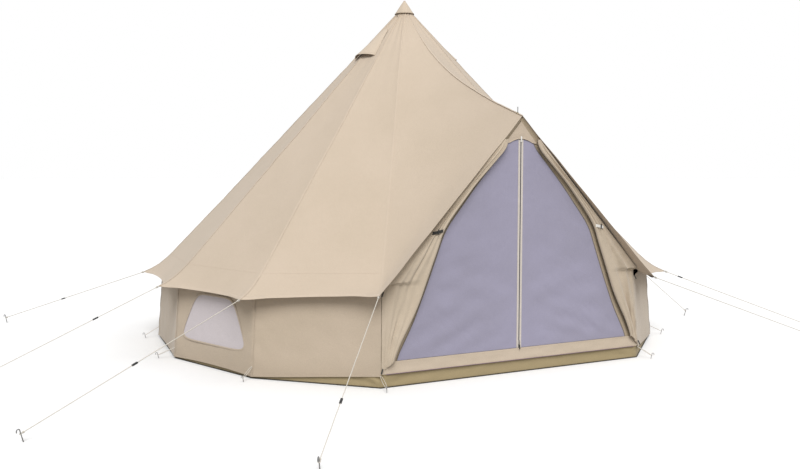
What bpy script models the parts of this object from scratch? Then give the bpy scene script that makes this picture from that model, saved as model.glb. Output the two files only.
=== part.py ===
"""A canvas bell tent, pitched, with its poles, walls, windows, groundsheet, zipped mesh door and guy ropes.

Units are metres and +Z is up. The origin is under the centre pole, on the underside of the groundsheet,
and the door faces -Y. A bearing is the angle round the centre pole from the door, towards +X, in degrees.
"""

import math

import bmesh
import bpy
from mathutils import Matrix, Vector

GAP = 0.0003  # between pieces that touch

# Plan of the tent
DOOR_HALF_ANGLE = 30.0  # from the middle of the door to the seam at its corner
GORES_PER_SIDE = 6  # roof panels from a door corner round to the back seam
GROUND_RADIUS = 2.50  # centre to the foot of the wall at a seam

# Roof canvas
CANVAS = 0.004
APEX_HEIGHT = 3.30
APEX_RADIUS = 0.03  # of the hole that the cap covers
KNEE_RISE = 0.02  # from the wall's top edge up to the knee, where the roof turns into its eave flap
KNEE_OVERHANG = 0.005  # from the wall's top edge out to the knee
EAVE_FLAP = 0.18  # from the knee out to a guy point
EAVE_DROP = 0.085  # from the knee down to a guy point
EAVE_SCALLOP = 0.085  # how far the eave is cut in between two guy points
CORNER_LIFT = 0.075  # how much higher the eave is at the door corners
GORE_SAG = 0.012
PORCH_SEAM = 0.002  # clear width of the seam between the porch and the rest of the roof

# Porch, the two roof panels that reach out to the tip of the door frame
TIP_OVERHANG = 0.02  # from the door mesh out to the tip
TIP_HEIGHT = 2.09
RIDGE_SAG = 1.15

# Apex cap and vents
CAP_RADIUS = 0.112
CAP_TOP_RADIUS = 0.008
CAP_HEIGHT = 0.135
CAP_CLEARANCE = 0.0248  # from the flattest line of the roof up to the cap's lower edge
VENT_SEAMS = {"left": -3, "right": 2}  # the seam that each vent is centred on
VENT_DROP = 0.23  # from the apex down to the top of a vent
VENT_LENGTH = 0.27  # in height, from its top to its mouth
VENT_RISE = 0.055
VENT_CLOTH = 0.003
VENT_CLEARANCE = 0.0015
VENT_HALF_ANGLES = (13.0, 20.0)  # at the top and at the mouth

# Walls, windows and groundsheet
WALL_TOP = 0.715
WALL_FOOT = 0.030
WALL_LEAN = 0.055  # how much further out the foot is than the top
WINDOW_GORES = {"front_left": -1.5, "front_right": 1.5, "rear_left": -4.5, "rear_right": 4.5}
WINDOW_LOW = 0.20
WINDOW_HIGH = 0.60
WINDOW_LOW_HALF = 0.455
WINDOW_HIGH_HALF = 0.235
WINDOW_CORNER = 0.06
WINDOW_MESH = 0.0015
FLOOR = 0.003
RIM_HEIGHT = 0.11
RIM_CLOTH = 0.005
RIM_INSET = 0.015  # between the foot of the wall and the groundsheet's rim

# Door
DOOR_SETBACK = 0.015  # from the line between the door corners back to the mesh
MESH = 0.002
DOOR_SILL = 0.20
# The outlines of the door are drawn for an opening of this half width, sill and tip. They are then
# stretched to the opening that the tent has.
PATTERN_HALF = 1.25
PATTERN_SILL = 0.20
PATTERN_TIP = 2.09
PATTERN_TOP = 1.90  # of the zip
PATTERN_SIDE = ((1.12, 0.20), (0.97, 0.48), (0.85, 0.77), (0.69, 1.19), (0.40, 1.55), (0.105, 1.87))
GABLE_CLEARANCE = 0.006  # above the mesh
SILL_SPREAD = 0.09  # how much wider the canvas sill is than the mesh, on each side
TAPE_WIDTH = 0.017
CHAIN_WIDTH = 0.008
CHAIN_DEPTH = 0.003
SLIDER_WIDTH = 0.009
SLIDER_HEIGHT = 0.030
SLIDER_DEPTH = 0.006
PULL_LENGTH = 0.040
PULL_DEPTH = 0.0025
SLIDER_REST = 0.045  # above the lower end of the zip

# Canvas flaps on the same pattern: height, inner half width, outer half width, then depth
FLAP_SECTIONS = (
    (0.205, 1.135, 1.212, 0.040),
    (0.35, 1.065, 1.213, 0.044),
    (0.50, 0.990, 1.213, 0.046),
    (0.64, 0.930, 1.205, 0.046),
    (0.76, 0.885, 1.165, 0.046),
    (0.90, 0.830, 1.050, 0.044),
    (1.05, 0.770, 0.920, 0.042),
    (1.18, 0.725, 0.820, 0.038),
    (1.30, 0.640, 0.730, 0.040),
    (1.55, 0.430, 0.510, 0.040),
    (1.84, 0.140, 0.195, 0.034),
)
FLAP_CLEARANCE = 0.007  # in front of the mesh
FLAP_UNDER_PORCH = 0.004  # from the front edge of the porch in to a flap
FLAP_LEAST = 0.030  # width of a flap where the porch leaves it little room
TIE_SECTION = 7  # of the flap's sections, the one that the tie goes round
TIE_CLEARANCE = 0.002
TIE_LENGTH = 0.105
TIE_WIDTH = 0.025
TIE_DEPTH = 0.004

# Poles
POLE_RADIUS = 0.019
POLE_JOINT = 1.70
POLE_DROP = 0.11  # from the apex down to the top of the pole
POLE_CAP_RADII = (0.034, 0.012)
POLE_CAP_HEIGHT = 0.06
POLE_CAP_BRIM = 0.012
UPPER_POLE_SHARE = 0.9  # of the lower pole's radius
FOOT_RADIUS = 0.032
FOOT_HEIGHT = 0.022
LEG_RADIUS = 0.0125
LEG_INSET = 0.15  # from the wall at the door corner in to the foot of the leg
LEG_SETBACK = 0.05  # behind the mesh
LEG_HEAD_X = 0.030
PEAK_BLOCK = (0.050, 0.032, 0.060)
PEAK_DROP = 0.050  # from the ridge tip down to the top of the block
SPIKE_RADIUS = 0.004
SPIKE_RISE = 0.075  # above the canvas
EYELET_RADIUS = 0.007

# Guy ropes: which seam from the right door corner round, then how much further out the peg is than
# the guy point, the peg's bearing, and the slider's place along the rope
ROPE_RADIUS = 0.003
ROPE_START = 0.010  # from the canvas to the rope's end
ROPE_POINTS = 16
GUYS = {
    "door_left": (-1, 1.62, 327.8, 0.70),
    "front_left": (-2, 1.78, 302.3, 0.54),
    "side_left": (-3, 1.33, 278.3, 0.39),
    "rear_left": (-4, 1.70, 240.6, 0.56),
    "door_right": (0, 1.39, 53.5, 0.93),
    "front_right": (1, 1.57, 57.5, 0.09),
    "side_right": (2, 0.65, 77.3, 0.12),
}
GUY_SLIDER = (0.048, 0.016, 0.012)
SLIDER_BORE = 0.0038
PEG_RADIUS = 0.004
PEG_HEIGHT = 0.075
PEG_LEAN = 0.020
PEG_HOOK = 0.022
PEG_CATCH = 0.055  # height of the rope on the peg

GORE_ANGLE = (180.0 - DOOR_HALF_ANGLE) / GORES_PER_SIDE
SEAMS = [DOOR_HALF_ANGLE + GORE_ANGLE * index for index in range(2 * GORES_PER_SIDE + 1)]
DOOR_Y = -GROUND_RADIUS * math.cos(math.radians(DOOR_HALF_ANGLE)) + DOOR_SETBACK
DOOR_HALF = GROUND_RADIUS * math.sin(math.radians(DOOR_HALF_ANGLE))
KNEE_RADIUS = GROUND_RADIUS - WALL_LEAN + KNEE_OVERHANG
KNEE_HEIGHT = WALL_TOP + KNEE_RISE
EAVE_RADIUS = KNEE_RADIUS + EAVE_FLAP
EAVE_HEIGHT = KNEE_HEIGHT - EAVE_DROP
TIP_REACH = TIP_OVERHANG - DOOR_Y
POLE_TOP = APEX_HEIGHT - POLE_DROP


# ---------------------------------------------------------------- helpers


def clear_scene():
    for obj in list(bpy.data.objects):
        bpy.data.objects.remove(obj, do_unlink=True)


def material(name, colour, roughness, metallic=0.0):
    """A Principled material, made once for each name."""
    found = bpy.data.materials.get(name)
    if found:
        return found
    made = bpy.data.materials.new(name)
    made.use_nodes = True
    shader = made.node_tree.nodes["Principled BSDF"]
    shader.inputs["Base Color"].default_value = (*colour, 1.0)
    shader.inputs["Roughness"].default_value = roughness
    shader.inputs["Metallic"].default_value = metallic
    made.diffuse_color = (*colour, 1.0)
    return made


def canvas_material():
    return material("canvas", (0.70, 0.58, 0.45), 0.85)


def polar(radius, bearing, height):
    angle = math.radians(bearing)
    return Vector((radius * math.sin(angle), -radius * math.cos(angle), height))


def mix(low, high, share):
    return low + (high - low) * share


def fitted(half, height):
    """A point of the door's pattern, stretched to the opening."""
    share = (height - PATTERN_SILL) / (PATTERN_TIP - PATTERN_SILL)
    return half * DOOR_HALF / PATTERN_HALF, mix(DOOR_SILL, TIP_HEIGHT, share)


def finish(obj, mat, smooth=True):
    bpy.context.scene.collection.objects.link(obj)
    obj.data.materials.append(mat)
    if smooth and obj.type == "MESH":
        obj.data.shade_smooth()
        obj.data.set_sharp_from_angle(angle=math.radians(40.0))
    return obj


def mesh_object(name, vertices, faces, mat, smooth=True):
    """A closed mesh from points and faces, its faces turned outwards."""
    mesh = bpy.data.meshes.new(name)
    mesh.from_pydata([tuple(point) for point in vertices], [], faces)
    edit = bmesh.new()
    edit.from_mesh(mesh)
    bmesh.ops.recalc_face_normals(edit, faces=edit.faces[:])
    edit.to_mesh(mesh)
    edit.free()
    return finish(bpy.data.objects.new(name, mesh), mat, smooth)


def loft(name, rings, mat, smooth=True, closed=False):
    """A solid through rings that have the same number of points. It is capped unless its ends meet."""
    count = len(rings[0])
    vertices = [point for ring in rings for point in ring]
    faces = []
    for row in range(len(rings) if closed else len(rings) - 1):
        here = row * count
        there = (row + 1) % len(rings) * count
        for index in range(count):
            after = (index + 1) % count
            faces.append((here + index, here + after, there + after, there + index))
    if not closed:
        last = (len(rings) - 1) * count
        faces.append(tuple(range(count)))
        faces.append(tuple(range(last + count - 1, last - 1, -1)))
    return mesh_object(name, vertices, faces, mat, smooth)


def cloth(name, columns, thickness, mat, outward=False):
    """A sheet through columns of points, top to bottom, by bearing. Its thickness goes inwards."""
    rows = len(columns[0])
    vertices = [point for column in columns for point in column]
    faces = []
    for index in range(len(columns) - 1):
        here = index * rows
        there = here + rows
        for row in range(rows - 1):
            faces.append((here + row, here + row + 1, there + row + 1, there + row))
    mesh = bpy.data.meshes.new(name)
    mesh.from_pydata([tuple(point) for point in vertices], [], faces)
    obj = finish(bpy.data.objects.new(name, mesh), mat)
    wall = obj.modifiers.new("cloth", "SOLIDIFY")
    wall.thickness = thickness
    wall.offset = 1.0 if outward else -1.0
    wall.use_even_offset = True
    return obj


def turned(name, profile, mat, place=(0.0, 0.0, 0.0), segments=24):
    """A solid of revolution about Z. The profile runs from the axis out and back to the axis."""
    vertices = []
    rings = []
    for radius, height in profile:
        count = segments if radius > 0 else 1
        rings.append(list(range(len(vertices), len(vertices) + count)))
        for step in range(count):
            vertices.append(polar(radius, 360.0 * step / segments, height))
    faces = []
    for lower, upper in zip(rings, rings[1:]):
        for step in range(segments):
            corners = [lower[step % len(lower)], lower[(step + 1) % len(lower)]]
            corners += [upper[(step + 1) % len(upper)], upper[step % len(upper)]]
            faces.append(tuple(dict.fromkeys(corners)))
    obj = mesh_object(name, vertices, faces, mat)
    obj.location = place
    return obj


def plate(name, outline, depth, mat, place=(0.0, 0.0, 0.0), smooth=False):
    """An outline in X and Z, given its depth along Y about its own origin."""
    rings = [[Vector((x, side * depth / 2, z)) for x, z in outline] for side in (-1, 1)]
    obj = loft(name, rings, mat, smooth)
    obj.location = place
    return obj


def block(name, size, mat, place, bevel=0.0):
    outline = [(-size[0] / 2, -size[2] / 2), (size[0] / 2, -size[2] / 2)]
    outline += [(size[0] / 2, size[2] / 2), (-size[0] / 2, size[2] / 2)]
    obj = plate(name, outline, size[1], mat, place)
    if bevel:
        edge = obj.modifiers.new("edges", "BEVEL")
        edge.width = bevel
        edge.segments = 2
    return obj


def rod(name, start, end, radius, mat, segments=20):
    """A round bar whose origin is at its start."""
    along = end - start
    rings = []
    for distance in (0.0, along.length):
        ring = [polar(radius, 360.0 * step / segments, distance) for step in range(segments)]
        rings.append(ring)
    obj = loft(name, rings, mat)
    obj.location = start
    obj.rotation_euler = along.to_track_quat("Z", "Y").to_euler()
    return obj


def tube(name, points, radius, mat, resolution=2):
    """A cord or bent wire: a curve with a round bevel and filled ends."""
    curve = bpy.data.curves.new(name, "CURVE")
    curve.dimensions = "3D"
    curve.bevel_depth = radius
    curve.bevel_resolution = resolution
    curve.use_fill_caps = True
    spline = curve.splines.new("POLY")
    spline.points.add(len(points) - 1)
    for point, place in zip(spline.points, points):
        point.co = (*place, 1.0)
    return finish(bpy.data.objects.new(name, curve), mat)


def cut(obj, cutter):
    cutter.hide_render = True
    cutter.display_type = "WIRE"
    hole = obj.modifiers.new(f"cut_{cutter.name}", "BOOLEAN")
    hole.operation = "DIFFERENCE"
    hole.object = cutter


def rounded(corners, radius, steps=4):
    """An outline in a plane with an arc at each corner."""
    points = []
    for index, corner in enumerate(corners):
        here = Vector(corner)
        before = (Vector(corners[index - 1]) - here).normalized()
        after = (Vector(corners[(index + 1) % len(corners)]) - here).normalized()
        half = before.angle(after) / 2
        centre = here + (before + after).normalized() * radius / math.sin(half)
        first = (here + before * radius / math.tan(half) - centre).normalized()
        last = (here + after * radius / math.tan(half) - centre).normalized()
        for step in range(steps + 1):
            points.append(tuple(centre + first.slerp(last, step / steps) * radius))
    return points


# ---------------------------------------------------------------- roof canvas


def corner_lift(bearing):
    return CORNER_LIFT if bearing in (SEAMS[0], SEAMS[-1]) else 0.0


def guy_point(bearing):
    return polar(EAVE_RADIUS, bearing, EAVE_HEIGHT + corner_lift(bearing))


def seam_column(bearing, aside=0.0):
    """Points down a roof seam, from the apex hole to the knee and out to the guy point, moved aside."""
    knee = polar(KNEE_RADIUS, bearing, KNEE_HEIGHT + corner_lift(bearing) / 2)
    apex = polar(APEX_RADIUS, bearing, APEX_HEIGHT)
    column = [apex.lerp(knee, share) for share in (0.0, 0.25, 0.5, 0.75, 1.0)]
    column += [knee.lerp(guy_point(bearing), share) for share in (0.5, 1.0)]
    shift = polar(aside, bearing + 90.0, 0.0)
    return [point + shift for point in column]


def gore_columns(first, second, middle):
    """Columns of one roof panel, from its first seam up to but not including its second."""
    inward = -polar(1.0, middle, 0.0)
    columns = [first]
    for across in (0.06, 0.17, 0.33, 0.5, 0.67, 0.83, 0.94):
        column = [a.lerp(b, across) for a, b in zip(first, second)]
        for row in (1, 2, 3):
            column[row] += inward * GORE_SAG * 4 * across * (1 - across)
        reach = 1 - abs(2 * across - 1) ** 2.6
        for row, share in ((-2, 0.5), (-1, 1.0)):
            column[row] += inward * EAVE_SCALLOP * reach * share
        columns.append(column)
    return columns


def ridge_column():
    """Points down the ridge that hangs between the apex and the tip of the door frame."""
    column = []
    for share in (0.0, 0.16, 0.34, 0.53, 0.72, 0.88, 1.0):
        sag = RIDGE_SAG * share * (1 - share) * (1 - 0.6 * share)
        height = mix(APEX_HEIGHT, TIP_HEIGHT, share) - sag
        column.append(Vector((0.0, -mix(APEX_RADIUS, TIP_REACH, share), height)))
    return column


def porch_columns(first, second):
    """Columns between a door-corner seam and the ridge, including the first only."""
    columns = [first]
    for across in (0.2, 0.4, 0.6, 0.8):
        columns.append([a.lerp(b, across) for a, b in zip(first, second)])
    return columns


def make_roof():
    """The porch is a solid of its own, so that both solids keep their hollow side open."""
    seams = [seam_column(bearing) for bearing in SEAMS]
    seams[0] = seam_column(SEAMS[0], PORCH_SEAM / 2)
    seams[-1] = seam_column(SEAMS[-1], -PORCH_SEAM / 2)
    columns = []
    for first, second, bearing in zip(seams, seams[1:], SEAMS):
        columns += gore_columns(first, second, bearing + GORE_ANGLE / 2)
    cloth("roof_canvas", columns + [seams[-1]], CANVAS, canvas_material())


def make_porch():
    right = seam_column(SEAMS[0], -PORCH_SEAM / 2)
    columns = porch_columns(seam_column(SEAMS[-1], PORCH_SEAM / 2), ridge_column())
    columns += porch_columns(ridge_column(), right)
    porch = cloth("roof_porch", columns + [right], CANVAS, canvas_material())
    spike_base = Vector((0.0, peak_y(), TIP_HEIGHT - 0.15))
    spike_top = Vector((0.0, peak_y(), TIP_HEIGHT + 0.15))
    cutter = rod("roof_eyelet_cutter", spike_base, spike_top, EYELET_RADIUS, canvas_material())
    cut(porch, cutter)


def make_cap():
    first, second = ridge_column()[:2]
    ridge_slope = (first.z - second.z) / (first.y - second.y)
    slope = min(ridge_slope, (APEX_HEIGHT - KNEE_HEIGHT) / (KNEE_RADIUS - APEX_RADIUS))
    foot = APEX_HEIGHT - (CAP_RADIUS - APEX_RADIUS) * slope + CAP_CLEARANCE
    top = foot + CAP_HEIGHT
    profile = [
        (0.0, top),
        (CAP_TOP_RADIUS, top),
        (CAP_RADIUS, foot),
        (CAP_RADIUS - CANVAS * 1.4, foot),
        (CAP_TOP_RADIUS * 0.7, top - CANVAS * 1.6),
        (0.0, top - CANVAS * 1.6),
    ]
    turned("apex_cap", profile, canvas_material(), segments=28)


def roof_radius(height):
    """Radius of the roof at a seam, at a height above the knee."""
    return mix(APEX_RADIUS, KNEE_RADIUS, (APEX_HEIGHT - height) / (APEX_HEIGHT - KNEE_HEIGHT))


def panel_radius(height, bearing):
    """Radius of the roof, which is flat between its seams."""
    past_middle = (bearing - SEAMS[0]) % GORE_ANGLE - GORE_ANGLE / 2
    chord = math.cos(math.radians(GORE_ANGLE / 2))
    return roof_radius(height) * chord / math.cos(math.radians(past_middle))


def make_vents():
    """Hoods over the roof vents, closed at the top and sides and open at the mouth below."""
    for side, seam in VENT_SEAMS.items():
        columns = []
        for step in range(11):
            across = step / 5 - 1
            column = []
            for down in (0.0, 0.3, 0.6, 0.85, 1.0):
                height = APEX_HEIGHT - VENT_DROP - VENT_LENGTH * down
                spread = mix(VENT_HALF_ANGLES[0], VENT_HALF_ANGLES[1], down)
                lift = VENT_CLEARANCE + VENT_RISE * down * (1 - across * across)
                bearing = SEAMS[seam] + across * spread
                column.append(polar(panel_radius(height, bearing) + lift, bearing, height))
            columns.append(column)
        cloth(f"roof_vent_{side}", columns, VENT_CLOTH, canvas_material(), outward=True)


# ---------------------------------------------------------------- walls and windows


def wall_radius(height):
    """Outer radius of the wall at a seam."""
    share = (height - WALL_FOOT) / (WALL_TOP - WALL_FOOT)
    return GROUND_RADIUS - WALL_LEAN * share


def wall_section(bearing):
    thick = CANVAS / math.cos(math.radians(GORE_ANGLE / 2))
    ring = []
    for height in (WALL_FOOT, WALL_TOP):
        ring.append(polar(wall_radius(height), bearing, height))
    for height in (WALL_TOP, WALL_FOOT):
        ring.append(polar(wall_radius(height) - thick, bearing, height))
    return ring


def panel_frame(gore):
    """Place and turn of a wall panel's middle, counted from the door in half gores past the corner."""
    side = 1 if gore > 0 else -1
    bearing = side * (DOOR_HALF_ANGLE + GORE_ANGLE * abs(gore))
    chord = math.cos(math.radians(GORE_ANGLE / 2))
    middle = (WINDOW_LOW + WINDOW_HIGH) / 2
    lean = math.atan(WALL_LEAN * chord / (WALL_TOP - WALL_FOOT))
    place = polar(wall_radius(middle) * chord - CANVAS / 2, bearing, middle)
    turn = Matrix.Rotation(math.radians(bearing), 4, "Z") @ Matrix.Rotation(-lean, 4, "X")
    return place, turn.to_euler()


def window_outline(inset):
    low = WINDOW_LOW - (WINDOW_LOW + WINDOW_HIGH) / 2 + inset
    high = -low
    slope = (WINDOW_LOW_HALF - WINDOW_HIGH_HALF) / (WINDOW_HIGH - WINDOW_LOW)
    side = inset * math.hypot(1.0, slope)
    low_half = WINDOW_LOW_HALF - side - slope * inset
    high_half = WINDOW_HIGH_HALF - side + slope * inset
    corners = [(-low_half, low), (low_half, low), (high_half, high), (-high_half, high)]
    return rounded(corners, WINDOW_CORNER)


def make_windows():
    """Mesh panes, and the cutters that open the wall for them."""
    netting = material("window_mesh", (0.62, 0.57, 0.60), 0.8)
    cutters = {}
    for name, gore in WINDOW_GORES.items():
        place, turn = panel_frame(gore)
        pane = plate(f"window_{name}", window_outline(GAP), WINDOW_MESH, netting, place)
        pane.rotation_euler = turn
        cutter = plate(f"window_{name}_cutter", window_outline(0.0), 10 * CANVAS, netting, place)
        cutter.rotation_euler = turn
        cutters[name] = cutter
    return cutters


def make_walls(cutters):
    """Four lengths of side wall, each of as many panels, with a seam between neighbours."""
    half = GORES_PER_SIDE // 2
    ends = {"front_right": 0, "rear_right": half, "rear_left": 2 * half, "front_left": 3 * half}
    slip = math.degrees(GAP / KNEE_RADIUS)
    for name, first in ends.items():
        bearings = SEAMS[first : first + half + 1]
        bearings[0] += slip
        bearings[-1] -= slip
        rings = [wall_section(bearing) for bearing in bearings]
        wall = loft(f"wall_{name}", rings, canvas_material(), smooth=False)
        cut(wall, cutters[name])


def make_groundsheet():
    """The floor, and the rim that stands up round it inside the foot of the wall."""
    olive = material("groundsheet", (0.38, 0.31, 0.17), 0.5)
    radius = GROUND_RADIUS - RIM_INSET
    rings = [[polar(radius, bearing, height) for bearing in SEAMS] for height in (0.0, FLOOR)]
    loft("groundsheet_floor", rings, olive, smooth=False)
    sections = []
    for bearing in SEAMS:
        low = FLOOR + GAP
        section = [polar(radius, bearing, low), polar(radius, bearing, RIM_HEIGHT)]
        section.append(polar(radius - RIM_CLOTH, bearing, RIM_HEIGHT))
        section.append(polar(radius - RIM_CLOTH, bearing, low))
        sections.append(section)
    loft("groundsheet_rim", sections, olive, smooth=False, closed=True)


# ---------------------------------------------------------------- door


def door_half_outline():
    """Half of the mesh, from the zip out to its side and down to the sill, measured from the middle."""
    zip_edge = CHAIN_WIDTH / 2 + 2 * GAP + TAPE_WIDTH + GAP
    outline = [(zip_edge, DOOR_SILL)]
    outline += [fitted(half, height) for half, height in PATTERN_SIDE]
    outline.append((zip_edge, fitted(0.0, PATTERN_TOP)[1]))
    return outline


def make_door():
    """Two mesh halves, each hung on its outer foot, with the zip that joins them."""
    netting = material("door_mesh", (0.36, 0.34, 0.46), 0.8)
    tape_cloth = material("zip_tape", (0.72, 0.68, 0.62), 0.8)
    teeth = material("zip_chain", (0.20, 0.18, 0.18), 0.4)
    metal = material("zip_metal", (0.30, 0.30, 0.31), 0.35, 0.9)
    foot = fitted(*PATTERN_SIDE[0])[0]
    low, high = DOOR_SILL, fitted(0.0, PATTERN_TOP)[1]
    for side, name in ((-1, "left"), (1, "right")):
        hinge_x = side * foot
        outline = [(side * x - hinge_x, z) for x, z in door_half_outline()]
        half = plate(f"door_mesh_{name}", outline, MESH, netting, (hinge_x, DOOR_Y, 0.0))
        middle = side * (CHAIN_WIDTH / 2 + 2 * GAP + TAPE_WIDTH / 2)
        tape = [(-TAPE_WIDTH / 2, low), (TAPE_WIDTH / 2, low)]
        tape += [(TAPE_WIDTH / 2, high), (-TAPE_WIDTH / 2, high)]
        strip = plate(f"zip_tape_{name}", tape, MESH, tape_cloth, (middle - hinge_x, 0.0, 0.0))
        strip.parent = half
    left = bpy.data.objects["door_mesh_left"]
    size = (CHAIN_WIDTH, CHAIN_DEPTH, high - low)
    chain = block("zip_chain", size, teeth, (foot, 0.0, (high + low) / 2))
    chain.parent = left
    slider = zip_slider(metal)
    depth = CHAIN_DEPTH / 2 + GAP + SLIDER_DEPTH / 2
    slider.location = (foot, -depth, low + SLIDER_REST)
    slider.parent = left


def zip_slider(metal):
    """The slider and its pull in one profile, seen from the side and given its width across the zip."""
    back = SLIDER_DEPTH / 2
    front = -SLIDER_DEPTH / 2
    top = SLIDER_HEIGHT / 2
    pull = front - PULL_DEPTH
    slot = 0.001
    profile = [(back, -top), (back, top), (pull, top), (pull, top - PULL_LENGTH)]
    profile += [(front - slot, top - PULL_LENGTH), (front - slot, top / 2), (front, top / 2), (front, -top)]
    rings = []
    for side in (-1, 1):
        rings.append([Vector((side * SLIDER_WIDTH / 2, y, z)) for y, z in profile])
    return loft("zip_slider", rings, metal, smooth=False)


def make_sill_and_gable():
    """The canvas strip under the mesh, and the small canvas triangle over it."""
    half = fitted(*PATTERN_SIDE[0])[0] + SILL_SPREAD
    low = RIM_HEIGHT + GAP
    high = DOOR_SILL - GAP
    outline = [(-half, low), (half, low), (half, high), (-half, high)]
    plate("door_sill", outline, CANVAS, canvas_material(), (0.0, DOOR_Y, 0.0))
    side_x, side_z = fitted(*PATTERN_SIDE[-1])
    top = fitted(0.0, PATTERN_TOP)[1]
    wide, brow = fitted(0.155, 1.865)
    gap = GABLE_CLEARANCE
    outline = [(-wide, brow), (-side_x, side_z + gap)]
    for step in range(1, 6):
        across = step / 3 - 1
        outline.append((side_x * across, mix(top, side_z, across * across) + gap))
    outline += [(side_x, side_z + gap), (wide, brow), fitted(0.0, 2.045)]
    plate("door_gable", outline, CANVAS, canvas_material(), (0.0, DOOR_Y, 0.0))


def porch_half(height, front_y):
    """Half width of the space under the porch at a height, in the plane of the flaps."""
    knee = polar(KNEE_RADIUS, SEAMS[0], KNEE_HEIGHT + CORNER_LIFT / 2)
    end = guy_point(SEAMS[0])
    corner = knee.lerp(end, (front_y - knee.y) / (end.y - knee.y))
    return corner.x * (TIP_HEIGHT - height) / (TIP_HEIGHT - corner.z)


def make_flaps():
    """The canvas door, gathered to each side and held by a tie. A section is an oval."""
    webbing = material("webbing", (0.50, 0.42, 0.32), 0.8)
    deepest = max(section[3] for section in FLAP_SECTIONS)
    middle_y = DOOR_Y - MESH / 2 - FLAP_CLEARANCE - deepest / 2
    for side, name in ((-1, "left"), (1, "right")):
        rings = []
        for height, inner, outer, depth in FLAP_SECTIONS:
            ring = []
            low, z = fitted(inner, height)
            high = min(fitted(outer, height)[0], porch_half(z, middle_y) - FLAP_UNDER_PORCH)
            low = min(low, high - FLAP_LEAST)
            for step in range(12):
                angle = math.tau * step / 12
                x = (low + high) / 2 + (high - low) / 2 * math.cos(angle)
                ring.append(Vector((side * x, middle_y + depth / 2 * math.sin(angle), z)))
            rings.append(ring)
        loft(f"door_flap_{name}", rings, canvas_material())
        height, inner, outer, depth = FLAP_SECTIONS[TIE_SECTION]
        tie_x, tie_z = fitted((inner + outer) / 2, height)
        tie_y = middle_y - depth / 2 - TIE_CLEARANCE - TIE_DEPTH / 2
        tie_x = min(tie_x, porch_half(tie_z, tie_y) - FLAP_UNDER_PORCH - TIE_LENGTH / 2)
        size = (TIE_LENGTH, TIE_DEPTH, TIE_WIDTH)
        tie = block(f"flap_tie_{name}", size, webbing, (side * tie_x, tie_y, tie_z))
        tie.rotation_euler.y = side * math.radians(12.0)


# ---------------------------------------------------------------- poles


def peak_y():
    return DOOR_Y + LEG_SETBACK


def make_centre_pole():
    steel = material("pole_steel", (0.55, 0.55, 0.56), 0.35, 0.9)
    rubber = material("black_rubber", (0.03, 0.03, 0.03), 0.7)
    base = FLOOR + GAP
    foot_top = base + FOOT_HEIGHT
    profile = [(0.0, base), (FOOT_RADIUS, base), (POLE_RADIUS + 0.004, foot_top), (0.0, foot_top)]
    turned("centre_pole_foot", profile, rubber)
    lower = foot_top + GAP
    rod("centre_pole_lower", Vector((0, 0, lower)), Vector((0, 0, POLE_JOINT)), POLE_RADIUS, steel)
    upper = Vector((0, 0, POLE_JOINT + GAP))
    radius = POLE_RADIUS * UPPER_POLE_SHARE
    rod("centre_pole_upper", upper, Vector((0, 0, POLE_TOP)), radius, steel)
    cap = POLE_TOP + GAP
    wide, narrow = POLE_CAP_RADII
    profile = [(0.0, cap), (wide, cap), (wide, cap + POLE_CAP_BRIM)]
    profile += [(narrow, cap + POLE_CAP_HEIGHT), (0.0, cap + POLE_CAP_HEIGHT)]
    turned("centre_pole_cap", profile, rubber)


def make_door_frame():
    """The A-shaped frame behind the mesh: two legs on feet, a block that joins them and a spike."""
    steel = material("pole_steel", (0.55, 0.55, 0.56), 0.35, 0.9)
    rubber = material("black_rubber", (0.03, 0.03, 0.03), 0.7)
    block_top = TIP_HEIGHT - PEAK_DROP
    block_middle = Vector((0.0, peak_y(), block_top - PEAK_BLOCK[2] / 2))
    block("frame_peak_block", PEAK_BLOCK, rubber, block_middle, bevel=0.004)
    base = FLOOR + GAP
    foot_top = base + FOOT_HEIGHT
    for side, name in ((-1, "left"), (1, "right")):
        profile = [(0.0, base), (FOOT_RADIUS * 0.8, base)]
        profile += [(LEG_RADIUS + 0.003, foot_top), (0.0, foot_top)]
        leg_x = side * (DOOR_HALF - LEG_INSET)
        turned(f"frame_foot_{name}", profile, rubber, (leg_x, peak_y(), 0.0))
        start = Vector((leg_x, peak_y(), foot_top))
        end = Vector((side * LEG_HEAD_X, peak_y(), block_middle.z))
        along = (end - start).normalized()
        # The end faces are square to the leg, so its lower rim is held clear of the foot.
        start += along * (LEG_RADIUS * abs(along.x) + GAP) / along.z
        end -= along * (LEG_RADIUS * abs(along.z) + GAP) / abs(along.x)
        rod(f"frame_leg_{name}", start, end, LEG_RADIUS, steel)
    top = Vector((0.0, peak_y(), TIP_HEIGHT + SPIKE_RISE))
    rod("frame_spike", Vector((0.0, peak_y(), block_top + GAP)), top, SPIKE_RADIUS, steel, 12)


# ---------------------------------------------------------------- guy ropes


def make_peg(name, ground, away):
    """The part of a hooked peg above the ground. It leans away from the tent and its hook faces away too."""
    steel = material("peg_steel", (0.45, 0.45, 0.46), 0.4, 0.9)
    up = Vector((0.0, 0.0, 1.0))
    lean = away * PEG_LEAN + up * PEG_HEIGHT
    foot = PEG_RADIUS * PEG_LEAN / lean.length + GAP
    shaft_top = ground + lean
    points = [ground + up * foot, ground + lean * 0.5, shaft_top]
    centre = shaft_top + away * PEG_HOOK / 2
    for step in range(1, 6):
        angle = math.pi * (1 - step / 5)
        points.append(centre + (away * math.cos(angle) + up * math.sin(angle)) * PEG_HOOK / 2)
    points.append(points[-1] - up * PEG_HOOK / 2)
    tube(name, points, PEG_RADIUS, steel)
    return ground + lean * (PEG_CATCH / PEG_HEIGHT)


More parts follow.
